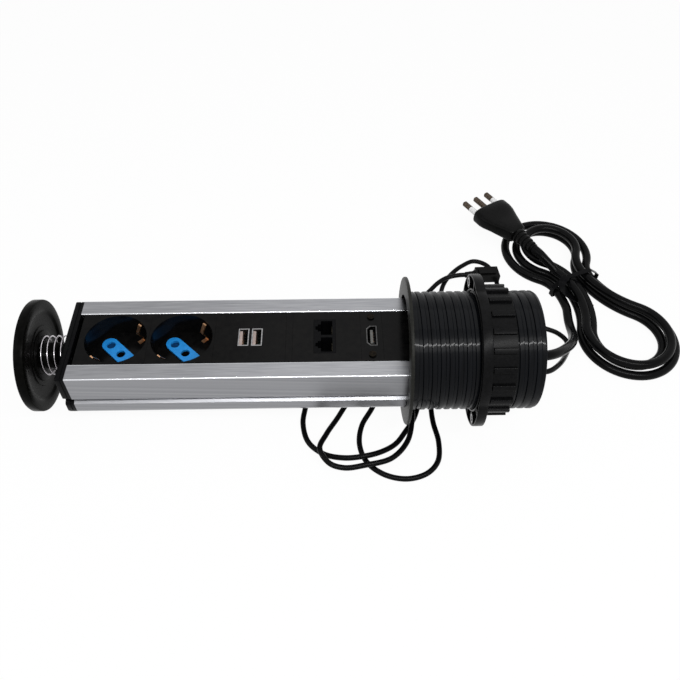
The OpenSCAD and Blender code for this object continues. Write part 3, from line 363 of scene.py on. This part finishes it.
def loop_point(t, inside):
    """A point t 24ths of the way round one loop, a near and a far lobe with a waist, moved in by inside."""
    if t <= 2:
        return arc(0, -WAIST_Y, WAIST_R + inside, 90 + t / 2 * (90 - FAR_TURN))
    if t <= 10:
        return arc(-FAR_X, 0, FAR_R - inside, -FAR_TURN - (t - 2) / 4 * (180 - FAR_TURN))
    if t <= 12:
        return arc(0, WAIST_Y, WAIST_R + inside, 270 - (12 - t) / 2 * (90 - FAR_TURN))
    if t <= 14:
        return arc(0, NEAR_WAIST_Y, NEAR_WAIST_R + inside, 270 + (t - 12) / 2 * (90 - NEAR_TURN))
    if t <= 22:
        return arc(NEAR_X, 0, NEAR_R - inside, (18 - t) / 4 * (180 - NEAR_TURN))
    return arc(0, -NEAR_WAIST_Y, NEAR_WAIST_R + inside, 90 - (24 - t) / 2 * (90 - NEAR_TURN))


def hank_point(s):
    """A point s turns into the hank, which winds in, climbs one layer and winds out again."""
    inside = min(s, TURNS_IN, 2 * TURNS_IN + CLIMB - s)
    layer = min(max((s - TURNS_IN) / CLIMB, 0), 1)
    p = loop_point((s % 1.0) * 24, inside * STRAND)
    return hank_place((p.x, p.y, LOW + LAYER * layer))


HANK_X, HANK_Y, HANK_TURN = 239, 114, math.radians(-66)


def hank_place(p):
    """A point of the hank's own plane, on the floor where the hank lies."""
    x = HANK_X + p[0] * math.cos(HANK_TURN) - p[1] * math.sin(HANK_TURN)
    y = HANK_Y + p[0] * math.sin(HANK_TURN) + p[1] * math.cos(HANK_TURN)
    return Vector((x, y, p[2]))


# The hank starts and ends a little outside its whole turns, where the lead joins it
PER_TURN, LEAD_IN = 192, 8
hank = [hank_point((i - LEAD_IN) / PER_TURN) for i in range(PER_TURN * TURNS + 2 * LEAD_IN + 1)]
lead_part = spline(mains_route + [hank_start], 2.0, tail=hank[0])
plug_part = spline([hank_end] + plug_route, 2.0, head=hank[-1])
join_in = spline([hank_start, hank[0]], 1.5, head=mains_route[-1], tail=hank[4])
join_out = spline([hank[-1], hank_end], 1.5, head=hank[-5], tail=plug_route[0])
mains_path = lead_part[:-1] + join_in[:-1] + hank[:-1] + join_out[:-1] + plug_part
bm = bmesh.new()
tube(bm, mains_path, MAINS_D / 2, 20)
mains = piece("mains_cord", bm, "tower", "cord_black", ("mains_lead", "mains_hank", "plug_lead"), place=FLOOR,
              angle=60)

# Plug: rounded body on the CAD pins, ribbed boot
PLUG_AT, PLUG_HEADING = (0.1724, 0.1876, 0.02), math.radians(123)
PLUG_POINTS, PLUG_POWER = 48, 0.55
# Each section's distance along the plug, half width and half height
PLUG_SECTIONS = [
    (0, 16.0, 6.2), (-0.5, 17.0, 7.0), (-1.6, 17.6, 7.5), (-9, 17.7, 7.4), (-13, 17.2, 6.8), (-17, 15.8, 6.3),
    (-21, 14.2, 6.2), (-25, 12.6, 6.4), (-29, 10.9, 6.6), (-33, 9.4, 6.6), (-36.5, 8.5, 6.5), (-38, 7.6, 5.9),
]
plug_turn = Matrix.Translation(PLUG_AT) @ Matrix.Rotation(PLUG_HEADING, 4, "Z") @ FLOOR


def squared(x):
    """A sine or cosine swollen, so that a circle becomes a rounded rectangle."""
    return math.copysign(abs(x) ** PLUG_POWER, x)


bm = bmesh.new()
columns = []
for x, wide, high in PLUG_SECTIONS:
    turns = [2 * math.pi * i / PLUG_POINTS for i in range(PLUG_POINTS)]
    columns.append([(x, wide * squared(math.cos(a)), high * squared(math.sin(a))) for a in turns])
rings(bm, columns, cap=True)
plug_body = piece("plug_shell", bm, "tower", "plug_plastic", ("plug_body",), place=plug_turn, angle=50)
bm = bmesh.new()
BOOT_START, BOOT_END, BOOT_RIBS, BOOT_PITCH, BOOT_R, BOOT_TAPER = -38.02, -58.0, 5, 3.8, 6.5, 0.5
boot = [(BOOT_START, 0.0), (BOOT_START, BOOT_R - 0.3)]
for i in range(BOOT_RIBS):
    x = BOOT_START - 0.78 - i * BOOT_PITCH
    r = BOOT_R - BOOT_TAPER * i
    boot += [(x, r - 0.2), (x - 0.3, r), (x - 1.8, r - 0.1), (x - 2.1, r - 0.4), (x - 2.3, r - 1.3),
             (x - 3.5, r - 1.4)]
boot += [(BOOT_END + 0.2, 4.1), (BOOT_END, 3.9), (BOOT_END, 0.0)]
turned(bm, boot, 40)
plug_boot = piece("plug_boot_ribs", bm, "tower", "plug_plastic", ("plug_boot",), place=plug_turn, angle=40)

# Tie: a thin band round the hank's waist with a flat loose tail
def grown(points, r, steps=5):
    """A convex outline, counterclockwise, moved out by r with round corners."""
    out = []
    n = len(points)
    for i, p in enumerate(points):
        a, b = Vector(points[i - 1]), Vector(points[(i + 1) % n])
        p = Vector(p)
        start = math.atan2(-(p - a).x, (p - a).y)
        end = math.atan2(-(b - p).x, (b - p).y)
        sweep = (end - start) % (2 * math.pi)
        for k in range(steps + 1):
            f = start + sweep * k / steps
            out.append((p.x + r * math.cos(f), p.y + r * math.sin(f)))
    return out


# A strip's section: a flat band with its corners cut
RIBBON = [(-1, -0.4), (-0.94, -1), (0.94, -1), (1, -0.4), (1, 0.4), (0.94, 1), (-0.94, 1), (-1, 0.4)]


def ribbon(bm, path, width, thick, lean=0.0):
    """A flat strip along points, leaning about its path."""
    pts = [Vector(p) for p in path]
    n = len(pts)
    columns = []
    for i, p in enumerate(pts):
        t = (pts[min(i + 1, n - 1)] - pts[max(i - 1, 0)]).normalized()
        side = t.cross(Vector((0, 0, 1))).normalized()
        up = side.cross(t)
        across = side * math.cos(lean) + up * math.sin(lean)
        normal = up * math.cos(lean) - side * math.sin(lean)
        columns.append([p + across * a * width / 2 + normal * b * thick / 2 for a, b in RIBBON])
    rings(bm, columns, cap=True)


TIE = [(-24.2, 1.2), (19.6, 1.2), (19.6, 8.5), (10.0, 16.2), (-14.6, 16.2), (-24.2, 8.5)]
tie_tail = [
    (226.4, 108.6, 17.5), (222.6, 104.6, 17.2), (221.2, 99.8, 14.4), (224.4, 95.0, 11.6), (229.4, 91.2, 10.2),
    (236.4, 87.4, 9.6), (244.6, 83.2, 9.2),
]
TAIL_W, TAIL_T, TAIL_LEAN = 6.4, 0.8, 0.25
bm = bmesh.new()
rings(bm, [[hank_place((x, q[0], q[1])) for q, x in ((a, -1.9), (a, 1.9), (b, 2.0), (b, -2.0))]
           for a, b in zip(grown(TIE, 0.4), grown(TIE, 1.2))], close_column=True)
ribbon(bm, spline(tie_tail, 1.5), TAIL_W, TAIL_T, TAIL_LEAN)
tie = piece("tie_strap", bm, "tower", "cap_plastic", ("cord_tie",), place=FLOOR, bevel=0.12, segments=2)

# Data lead: leaves with the tower, lies on the floor
DATA_D = 3.8
data_route = [
    (151.6, -8, 35.4), (155.3, -8, 35.6), (171.5, -7, 37), (184, -3, 34), (194.5, 7, 28), (211.5, 33, 9),
    (217, 44, 3), (218, 53.5, 2), (212.5, 61, 2), (202.5, 66, 2), (188, 73, 2), (177, 86.5, 2),
    (173, 101.5, 2), (172.5, 118, 2), (167.5, 135.5, 2), (157, 140.5, 2), (146, 134.5, 2),
    (135, 123.5, 2), (127.5, 111.5, 2), (122.5, 93, 2), (112, 29, 2), (107.5, 6.5, 2), (105, -13, 2),
    (105.3, -26, 2), (107.5, -41.5, 2), (105.5, -57, 2), (97.5, -66.5, 2), (83.5, -71, 2), (68.5, -68, 2),
    (57, -58.5, 2), (52.5, -45, 2), (54.5, -29.5, 2), (63, -13, 2), (69.5, 5, 2), (70.5, 25.5, 2),
    (63.5, 44, 2), (50.5, 55, 2), (34, 55.5, 2), (20.5, 43.5, 2), (15.5, 23.5, 2), (16, -7, 2),
    (13.5, -28, 2), (17.5, -43.5, 2), (28, -53, 2.6), (41.5, -57.5, 5.4), (54.5, -57, 7), (67, -52, 5),
    (77.5, -44, 2.6), (85, -33.5, 2), (92, -22, 2), (97, -6, 2), (100, 15, 2), (103.3, 27, 2),
    (103.5, 35, 2), (101, 40.9, 2), (95.2, 43.3, 2), (89.4, 40.9, 2), (87, 35, 2), (88, 26, 2),
    (89.8, 13, 2), (91, 0, 3.6), (90.5, -15, 6.6), (89.5, -27.5, 7.2), (85.5, -43, 5), (73.5, -57.5, 5.8),
    (55, -64, 7.2), (41.5, -65.5, 6), (31.5, -62.5, 6.6), (25, -52, 7.6), (29.5, -39, 5.4),
    (38.5, -21.5, 2), (50, 1, 2), (57, 23.5, 3.4), (64, 41, 7.2), (73, 53, 4.6), (87, 70.5, 2),
    (108, 95, 2), (115.5, 103, 3.8), (122, 109.5, 5.6), (128.5, 114.3, 6.4), (135, 116.5, 7.2),
    (141.548, 117.084, 8.2), (145.334, 117.416, 8.2),
]
data_path = [Vector((p.x, p.y, max(p.z, DATA_D / 2))) for p in spline(data_route, 1.5)]
bm = bmesh.new()
tube(bm, data_path, DATA_D / 2, 16)
data = piece("data_cord", bm, None, "cord_black", ("data_lead",), place=FLOOR, angle=60)
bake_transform(data)

# Barrel: flange, neck and a true helical thread
BORE, ROOT, THREAD, FLANGE = 38.0922, 39.192, 39.9922, 49.9922
LENGTH, NECK, PITCH, RIDGE, FLANGE_T = 84.5, 4.0, 5.5, 3.7, 2.2
THREAD_STEPS, RIDGES, RIDGE_STEPS, FADE, SATIN_TO = 160, 16, 8, 1.6, 0.05
head = [(-FLANGE_T, BORE), (-FLANGE_T, FLANGE - 1.0), (-2.1, FLANGE - 0.55), (-1.75, FLANGE - 0.15),
        (-1.2, FLANGE), (-0.35, FLANGE), (-0.1, FLANGE - 0.1), (0, FLANGE - 0.35), (0, THREAD + 0.4),
        (0.1, THREAD + 0.1), (0.4, THREAD), (NECK, THREAD), (NECK + 0.3, ROOT)]
tail = [(LENGTH - 0.4, ROOT), (LENGTH, ROOT - 0.35), (LENGTH, BORE + 0.25), (LENGTH - 0.25, BORE)]
thread_start = NECK + 0.3
thread_end = LENGTH - 0.4
columns = []
for i in range(THREAD_STEPS + 1):
    a = 2 * math.pi * i / THREAD_STEPS
    column = list(head)
    for k in range(-1, RIDGES):
        base = thread_start + PITCH * (k + i / THREAD_STEPS)
        for j in range(RIDGE_STEPS + 1):
            rise = 1 - (2 * j / RIDGE_STEPS - 1) ** 8
            u = min(max(base + RIDGE * j / RIDGE_STEPS, thread_start), thread_end)
            fade = smooth((u - thread_start) / FADE) * smooth((thread_end - u) / FADE)
            column.append((u, ROOT + (THREAD - ROOT) * rise * fade))
    column += tail
    columns.append([(u, r * math.cos(a), r * math.sin(a)) for u, r in column])
bm = bmesh.new()
rings(bm, columns, close_ring=True)
bmesh.ops.remove_doubles(bm, verts=bm.verts, dist=2e-4)
bmesh.ops.dissolve_degenerate(bm, edges=bm.edges, dist=1e-5)
for f in bm.faces:
    if f.calc_center_median().x < SATIN_TO:
        f.material_index = 1
piece("barrel_thread", bm, "barrel", "barrel_plastic", ("barrel",),
      mats=[finishes["barrel_plastic"], finishes["flange_satin"]], angle=30)

# Clamp ring: an oval cup open towards the flange, with a boss and two ribs in each ear
RING_AT, RING_T, RING_BORE, RING_R, RING_WALL, RING_FLOOR = 43.0, 6.5, 40.3922, 45.1922, 1.4, 47.0
EAR_TIP, EAR_BEND, EAR_TURN, INSERT_AT, INSERT_R, BOSS_R = 51.5922, 30.0, 128.0, 46.3922, 3.0, 4.4
RIB_LEAN, RIB_INNER, RIB_OUTER, RIB_HALF = 22, 41.2, 48.2, 0.6
EAR_CENTRE = EAR_TIP - EAR_BEND


def ring_lift(p, u):
    """A point of the ring's outline, turned to where the ears stand."""
    a = math.radians(EAR_TURN)
    return (u, p[0] * math.cos(a) - p[1] * math.sin(a), p[0] * math.sin(a) + p[1] * math.cos(a))


def oval(shrink, n=192):
    """The ring's outline moved in: a circle and the round ends of the two ears."""
    out = []
    for i in range(n):
        a = 2 * math.pi * i / n
        bend = EAR_BEND - shrink
        ear = EAR_CENTRE * abs(math.sin(a)) + math.sqrt(bend ** 2 - (EAR_CENTRE * math.cos(a)) ** 2)
        r = max(RING_R - shrink, ear)
        out.append((r * math.cos(a), r * math.sin(a)))
    return out


bm = bmesh.new()
back = RING_AT + RING_T
inner = RING_BORE + RING_WALL
outer_wall = rings(bm, [[ring_lift(p, u) for p in oval(d)] for d, u in (
    (RING_WALL, RING_FLOOR), (RING_WALL, RING_AT + 0.3), (RING_WALL - 0.3, RING_AT), (0.5, RING_AT),
    (0.15, RING_AT + 0.15), (0.0, RING_AT + 0.5), (0.0, back - 0.5), (0.15, back - 0.15), (0.5, back))])
inner_wall = rings(bm, [[ring_lift(p, u) for p in circle(0, 0, r, 192)] for r, u in (
    (inner, RING_FLOOR), (inner, RING_AT + 0.3), (inner - 0.3, RING_AT), (RING_BORE + 0.3, RING_AT),
    (RING_BORE, RING_AT + 0.3), (RING_BORE, back - 0.3), (RING_BORE + 0.3, back))])
holes = []
for side in (-1, 1):
    mouth = circle(0, side * INSERT_AT, INSERT_R, 32)
    holes.append(rings(bm, [[ring_lift(p, u) for p in mouth] for u in (RING_FLOOR, back)]))
filled(bm, outer_wall[0], inner_wall[0], holes[0][0], holes[1][0])
filled(bm, outer_wall[-1], inner_wall[-1], holes[0][1], holes[1][1])
for side in (-1, 1):
    rings(bm, [[ring_lift(p, u) for p in circle(0, side * INSERT_AT, r, 32)] for r, u in (
        (INSERT_R, RING_FLOOR + 0.05), (INSERT_R, RING_AT + 0.2), (INSERT_R + 0.2, RING_AT),
        (BOSS_R - 0.2, RING_AT), (BOSS_R, RING_AT + 0.2), (BOSS_R, RING_FLOOR + 0.05))], close_column=True)
    for lean in (-RIB_LEAN, RIB_LEAN):
        a = math.radians(90 * side + lean)
        c, d = math.cos(a), math.sin(a)
        rib = rounded([(RIB_INNER, -RIB_HALF), (RIB_OUTER, -RIB_HALF), (RIB_OUTER, RIB_HALF),
                       (RIB_INNER, RIB_HALF)], 0.2, 2)
        rib = [(x * c - y * d, x * d + y * c) for x, y in rib]
        extruded(bm, rib, RING_AT + 0.2, RING_FLOOR + 0.05, ring_lift)
piece("clamp_ring_ears", bm, "clamp_ring", "clamp_plastic", ("clamp_ring",), angle=40)

# Ribbed nut
NUT_AT, NUT_LEN, NUT_R, RIB_H, RIB_W, RIBS = 49.6, 16.0, 42.3922, 2.0, 4.4, 22
NUT_END = NUT_AT + NUT_LEN
bm = bmesh.new()
turned(bm, rounded([(NUT_AT, RING_BORE), (NUT_END, RING_BORE), (NUT_END, NUT_R), (NUT_AT, NUT_R)], 0.5), 120)
for i in range(RIBS):
    a = 2 * math.pi * i / RIBS
    c, s = math.cos(a), math.sin(a)
    section = rounded([(-RIB_W / 2, NUT_R - 0.8), (RIB_W / 2, NUT_R - 0.8), (RIB_W / 2 - 0.3, NUT_R + RIB_H),
                       (0.3 - RIB_W / 2, NUT_R + RIB_H)], 0.5, 3)
    extruded(bm, section, NUT_AT + 0.6, NUT_END - 0.6,
             lambda p, h, c=c, s=s: (h, p[1] * c - p[0] * s, p[1] * s + p[0] * c))
piece("nut_ribs", bm, "ring_nut", "clamp_plastic", ("ring_nut",), bevel=0.2, angle=40, segments=2)

# Tower's top cap: a rounded plate with a seam round it and screw recesses, and the hollow guide post
CORNER, CAP_IN, CAP_OUT, CAP_SEAM, SEAM_DEPTH = 37.7922, -220.02, -226.0, -222.3, 0.35
POST_END, POST_R, POST_FLOOR, SHANK_BORE, HEAD_BORE = -236.6, 6.0, 3.5, 2.2, 3.7
RECESS_R, RECESS_DEPTH, SCREW_Y, SCREW_Z = 2.8, 2.0, 25.2, (10.1, -18.896)


def inset(outline, d):
    """An outline with each point moved in by d."""
    out = []
    n = len(outline)
    for i, p in enumerate(outline):
        t = (Vector(outline[(i + 1) % n]) - Vector(outline[i - 1])).normalized()
        out.append((p[0] - t.y * d, p[1] + t.x * d))
    return out


UPPER, LOWER, UPPER_Z, GROOVE, GROOVE_LOW, GROOVE_HIGH = 34, 33.8, 16.5, 31.2, -8.6, -4.2
SHOULDER, SHOULDER_LOW, CAP_CORNER, CORNER_STEPS = 31.8, -9.7, 1.4, 4
low = math.sqrt(CORNER ** 2 - LOWER ** 2)
half = [(LOWER, -low), (LOWER, SHOULDER_LOW), (SHOULDER, GROOVE_LOW), (GROOVE, GROOVE_LOW),
        (GROOVE, GROOVE_HIGH), (UPPER, GROOVE_HIGH), (UPPER, UPPER_Z)]
outline = rounded(half + [(-y, z) for y, z in reversed(half)], CAP_CORNER, CORNER_STEPS)
outline = outline[CORNER_STEPS + 1:-CORNER_STEPS - 1]
spread = math.atan2(low, LOWER)
for i in range(25):
    a = -math.pi + spread + (math.pi - 2 * spread) * i / 24
    outline.append((CORNER * math.cos(a), CORNER * math.sin(a)))
bm = bmesh.new()
levels = ((CAP_OUT, 0.7), (CAP_OUT + 0.2, 0.22), (CAP_OUT + 0.7, 0.0), (CAP_SEAM - 0.4, 0.0),
          (CAP_SEAM - 0.2, SEAM_DEPTH), (CAP_SEAM + 0.2, SEAM_DEPTH), (CAP_SEAM + 0.4, 0.0), (CAP_IN, 0.0))
grid = rings(bm, [[(u, *q) for q in inset(outline, d)] for u, d in levels])
front = [grid[0]]
for z in SCREW_Z:
    for y in (-SCREW_Y, SCREW_Y):
        recess = circle(y, z, RECESS_R)
        wall = rings(bm, [[(u, *q) for q in recess] for u in (CAP_OUT, CAP_OUT + RECESS_DEPTH)])
        bm.faces.new(wall[1])
        front.append(wall[0])
post = rings(bm, [[(u, *q) for q in circle(0, 0, r, 48)] for u, r in (
    (CAP_OUT, POST_R), (POST_END + 0.5, POST_R), (POST_END, POST_R - 0.5), (POST_END, SHANK_BORE),
    (POST_END + POST_FLOOR, SHANK_BORE), (POST_END + POST_FLOOR, HEAD_BORE), (CAP_IN, HEAD_BORE))])
filled(bm, *front, post[0])
filled(bm, grid[-1], post[-1])
piece("cap_plate", bm, "tower", "cap_plastic", ("top_cap",), angle=32)

# Rounded edges along the profile, on its chamfers: each a quarter round with a flat back, in a lighter copy
# of the aluminium that is painted highlight
BEAD_R, BEAD_BACK, BEAD_Z, BEAD_START, BEAD_END = 0.6, 0.25, 15.9, -219.9, 53.9
BEAD_PLACES = ((33.4, 0), (22.3, 90))
bm = bmesh.new()
for side in (-1, 1):
    for y, lean in BEAD_PLACES:
        turns = [math.radians(lean + 15 * i) for i in range(7)]
        bead = [(BEAD_R * math.cos(a), BEAD_R * math.sin(a)) for a in turns]
        bead += [(BEAD_BACK * a, BEAD_BACK * b) for a, b in (bead[-1], bead[0])]
        bead = [(side * (y + a), BEAD_Z + b) for a, b in bead]
        extruded(bm, bead, BEAD_START, BEAD_END, lambda p, h: (h, *p))
piece("profile_edges", bm, "tower", "aluminium", mats=[finishes["painted_highlight_edge"]], angle=50)

# Tongues with contact strips in the charging ports and the display connector
contact_gilt = material(
    "contact_gilt", (0.46, 0.27, 0.17), (0.66, 0.44, 0.30), (0.24, 0.38), metal=1.0, scale=900)
tongue_rose = material("tongue_rose", (0.25, 0.19, 0.17), (0.38, 0.31, 0.285), (0.34, 0.48), scale=700)
tongue_grey = material("tongue_grey", (0.05, 0.05, 0.047), (0.09, 0.09, 0.084), (0.34, 0.48), scale=700)


def block(bm, u, v, low, high, corner, steps=4):
    """A block from u[0] to u[1] along the axis and v[0] to v[1] across, with rounded corners."""
    outline = rounded([(u[0], v[0]), (u[1], v[0]), (u[1], v[1]), (u[0], v[1])], corner, steps)
    extruded(bm, outline, low, high, lambda p, h: (p[0], p[1], h))


def tongue(name, node, places, base):
    """Blocks of (low u, high u, half width, low, high, contact half width, contact places)."""
    bm = bmesh.new()
    for u0, u1, half, low, high, wide, rows in places:
        block(bm, (u0, u1), (-half, half), low, high, 0.35)
        count = len(bm.faces)
        for y in rows:
            block(bm, (u1 - 0.05, u1 + 0.16), (y - wide, y + wide), low + 0.8, high - 0.7, 0.08, 2)
        bm.faces.ensure_lookup_table()
        for f in bm.faces[count:]:
            f.material_index = 1
    piece(name, bm, "tower", "cap_plastic", (node,), mats=[base, contact_gilt], bevel=0.15, segments=2)


PORTS_AT, PORT_CONTACTS = (-108.9, -100.1), (-3.5, -1.0, 1.0, 3.5)
DISPLAY_CONTACTS = [-4.0 + i for i in range(9)]
tongue("usb_contact_blocks", "usb_tongues",
       [(x - 2.8, x - 0.9, 6.0, 2.25, 15.2, 0.5, PORT_CONTACTS) for x in PORTS_AT], tongue_rose)
tongue("display_contact_block", "hdmi_tongue",
       [(-25.2, -23.4, 5.68, 3.85, 15.2, 0.22, DISPLAY_CONTACTS)], tongue_grey)

# Lid with stepped hub and guide sleeve
LID_IN, LID_OUT, LID_R = -243.8, -250.2, 37.5922
SLEEVE, SLEEVE_BORE, SLEEVE_END = 8.58, 6.08, LID_IN + 10.6
outline = [
    (LID_OUT, 0.0), (LID_OUT, LID_R - 1.2), (LID_OUT + 0.25, LID_R - 0.45), (LID_OUT + 0.9, LID_R),
    (LID_IN - 0.8, LID_R), (LID_IN - 0.25, LID_R - 0.2), (LID_IN, LID_R - 0.8), (LID_IN, 31.0),
    (LID_IN - 0.3, 30.3), (LID_IN - 1.2, 29.0), (LID_IN - 1.4, 28.2), (LID_IN - 1.4, 20.6),
    (LID_IN - 0.9, 20.2), (LID_IN - 0.9, 17.3), (LID_IN - 0.1, 17.0), (LID_IN, 16.6), (LID_IN, 11.6),
    (LID_IN + 0.6, 11.2), (LID_IN + 0.8, SLEEVE + 0.6), (LID_IN + 1.6, SLEEVE), (SLEEVE_END - 0.4, SLEEVE),
    (SLEEVE_END, SLEEVE - 0.4), (SLEEVE_END, SLEEVE_BORE + 0.2), (SLEEVE_END - 0.3, SLEEVE_BORE),
    (LID_IN + 0.05, SLEEVE_BORE), (LID_IN + 0.05, 0.0),
]
bm = bmesh.new()
turned(bm, outline, 128)
bmesh.ops.dissolve_degenerate(bm, edges=bm.edges, dist=1e-5)
piece("lid_disc", bm, "lid", "cap_plastic", ("lid",), mats=[finishes["lid_black"]], angle=38)

# Spring between the lid and the tower's cap
SPRING_R, WIRE, SPRING_TURNS, SPRING_STEPS, END_COIL = 13.0, 1.0, 4, 40, 0.2
coil = []
count = SPRING_STEPS * SPRING_TURNS
for i in range(count + 1):
    a = 2 * math.pi * i / SPRING_STEPS
    f = i / count
    f = (1 - END_COIL) * f + END_COIL * smooth(f)
    u = LID_IN + WIRE * 0.55 + (CAP_OUT - LID_IN - 1.1 * WIRE) * f
    coil.append((u, SPRING_R * math.cos(a), SPRING_R * math.sin(a)))
bm = bmesh.new()
tube(bm, coil, WIRE / 2, 10)
spring = piece("spring_coil", bm, "tower", "spring_steel", ("lid_spring",), angle=60)
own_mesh(spring)

# Floor, light and background
FLOOR_HALF, FLOOR_GLOW, WORLD_LIGHT, WORLD_SHOWN = 3.0, 0.95, 0.36, 1.0


def shown(t, path):
    """One for what the camera, a reflection or glass sees directly."""
    first = t.nodes.new("ShaderNodeMath")
    first.operation = "MAXIMUM"
    second = t.nodes.new("ShaderNodeMath")
    second.operation = "MAXIMUM"
    link(t, path.outputs["Is Camera Ray"], first.inputs[0])
    link(t, path.outputs["Is Glossy Ray"], first.inputs[1])
    link(t, first.outputs["Value"], second.inputs[0])
    link(t, path.outputs["Is Transmission Ray"], second.inputs[1])
    return second.outputs["Value"]


bm = bmesh.new()
bmesh.ops.create_grid(bm, x_segments=8, y_segments=8, size=FLOOR_HALF)
floor_mesh = bpy.data.meshes.new("floor")
bm.to_mesh(floor_mesh)
bm.free()
floor = bpy.data.objects.new("floor", floor_mesh)
bpy.context.scene.collection.objects.link(floor)
floor_material = bpy.data.materials.new("floor_white")
floor_material.use_nodes = True
t = floor_material.node_tree
t.nodes.clear()
out = t.nodes.new("ShaderNodeOutputMaterial")
mix = t.nodes.new("ShaderNodeMixShader")
path = t.nodes.new("ShaderNodeLightPath")
part = t.nodes.new("ShaderNodeMath")
part.operation = "MULTIPLY"
part.inputs[1].default_value = FLOOR_GLOW
diffuse = t.nodes.new("ShaderNodeBsdfDiffuse")
diffuse.inputs["Color"].default_value = (0.86, 0.86, 0.86, 1)
glow = t.nodes.new("ShaderNodeEmission")
glow.inputs["Color"].default_value = (1, 1, 1, 1)
link(t, shown(t, path), part.inputs[0])
link(t, part.outputs["Value"], mix.inputs["Fac"])
link(t, diffuse.outputs["BSDF"], mix.inputs[1])
link(t, glow.outputs["Emission"], mix.inputs[2])
link(t, mix.outputs["Shader"], out.inputs["Surface"])
floor_mesh.materials.append(floor_material)

world = bpy.data.worlds.new("studio")
bpy.context.scene.world = world
world.use_nodes = True
t = world.node_tree
background = t.nodes["Background"]
background.inputs["Color"].default_value = (1, 1, 1, 1)
path = t.nodes.new("ShaderNodeLightPath")
span = t.nodes.new("ShaderNodeMapRange")
span.inputs["To Min"].default_value = WORLD_LIGHT
span.inputs["To Max"].default_value = WORLD_SHOWN
link(t, shown(t, path), span.inputs["Value"])
link(t, span.outputs["Result"], background.inputs["Strength"])


def area(name, place, target, size, power, shape="SQUARE", size_y=None):
    lamp = bpy.data.lights.new(name, "AREA")
    lamp.energy = power
    lamp.shape = shape
    lamp.size = size
    if size_y:
        lamp.size_y = size_y
    obj = bpy.data.objects.new(name, lamp)
    obj.location = place
    obj.rotation_euler = (Vector(target) - Vector(place)).to_track_quat("-Z", "Y").to_euler()
    bpy.context.scene.collection.objects.link(obj)


area("strip", (0.22, -0.50, 0.93), (0.10, 0, 0.05), 1.2, 7.0, "RECTANGLE", 0.03)
area("sheen", (0.22, -0.53, 0.95), (0.10, 0, 0.05), 1.2, 3.0, "RECTANGLE", 0.42)
area("left", (-0.80, -0.20, 0.55), (0, 0, 0.05), 0.5, 1.0)
area("top", (0.15, 0.40, 1.0), (0.05, 0, 0.05), 0.8, 1.2)

view = bpy.context.scene.view_settings
view.view_transform = "Standard"
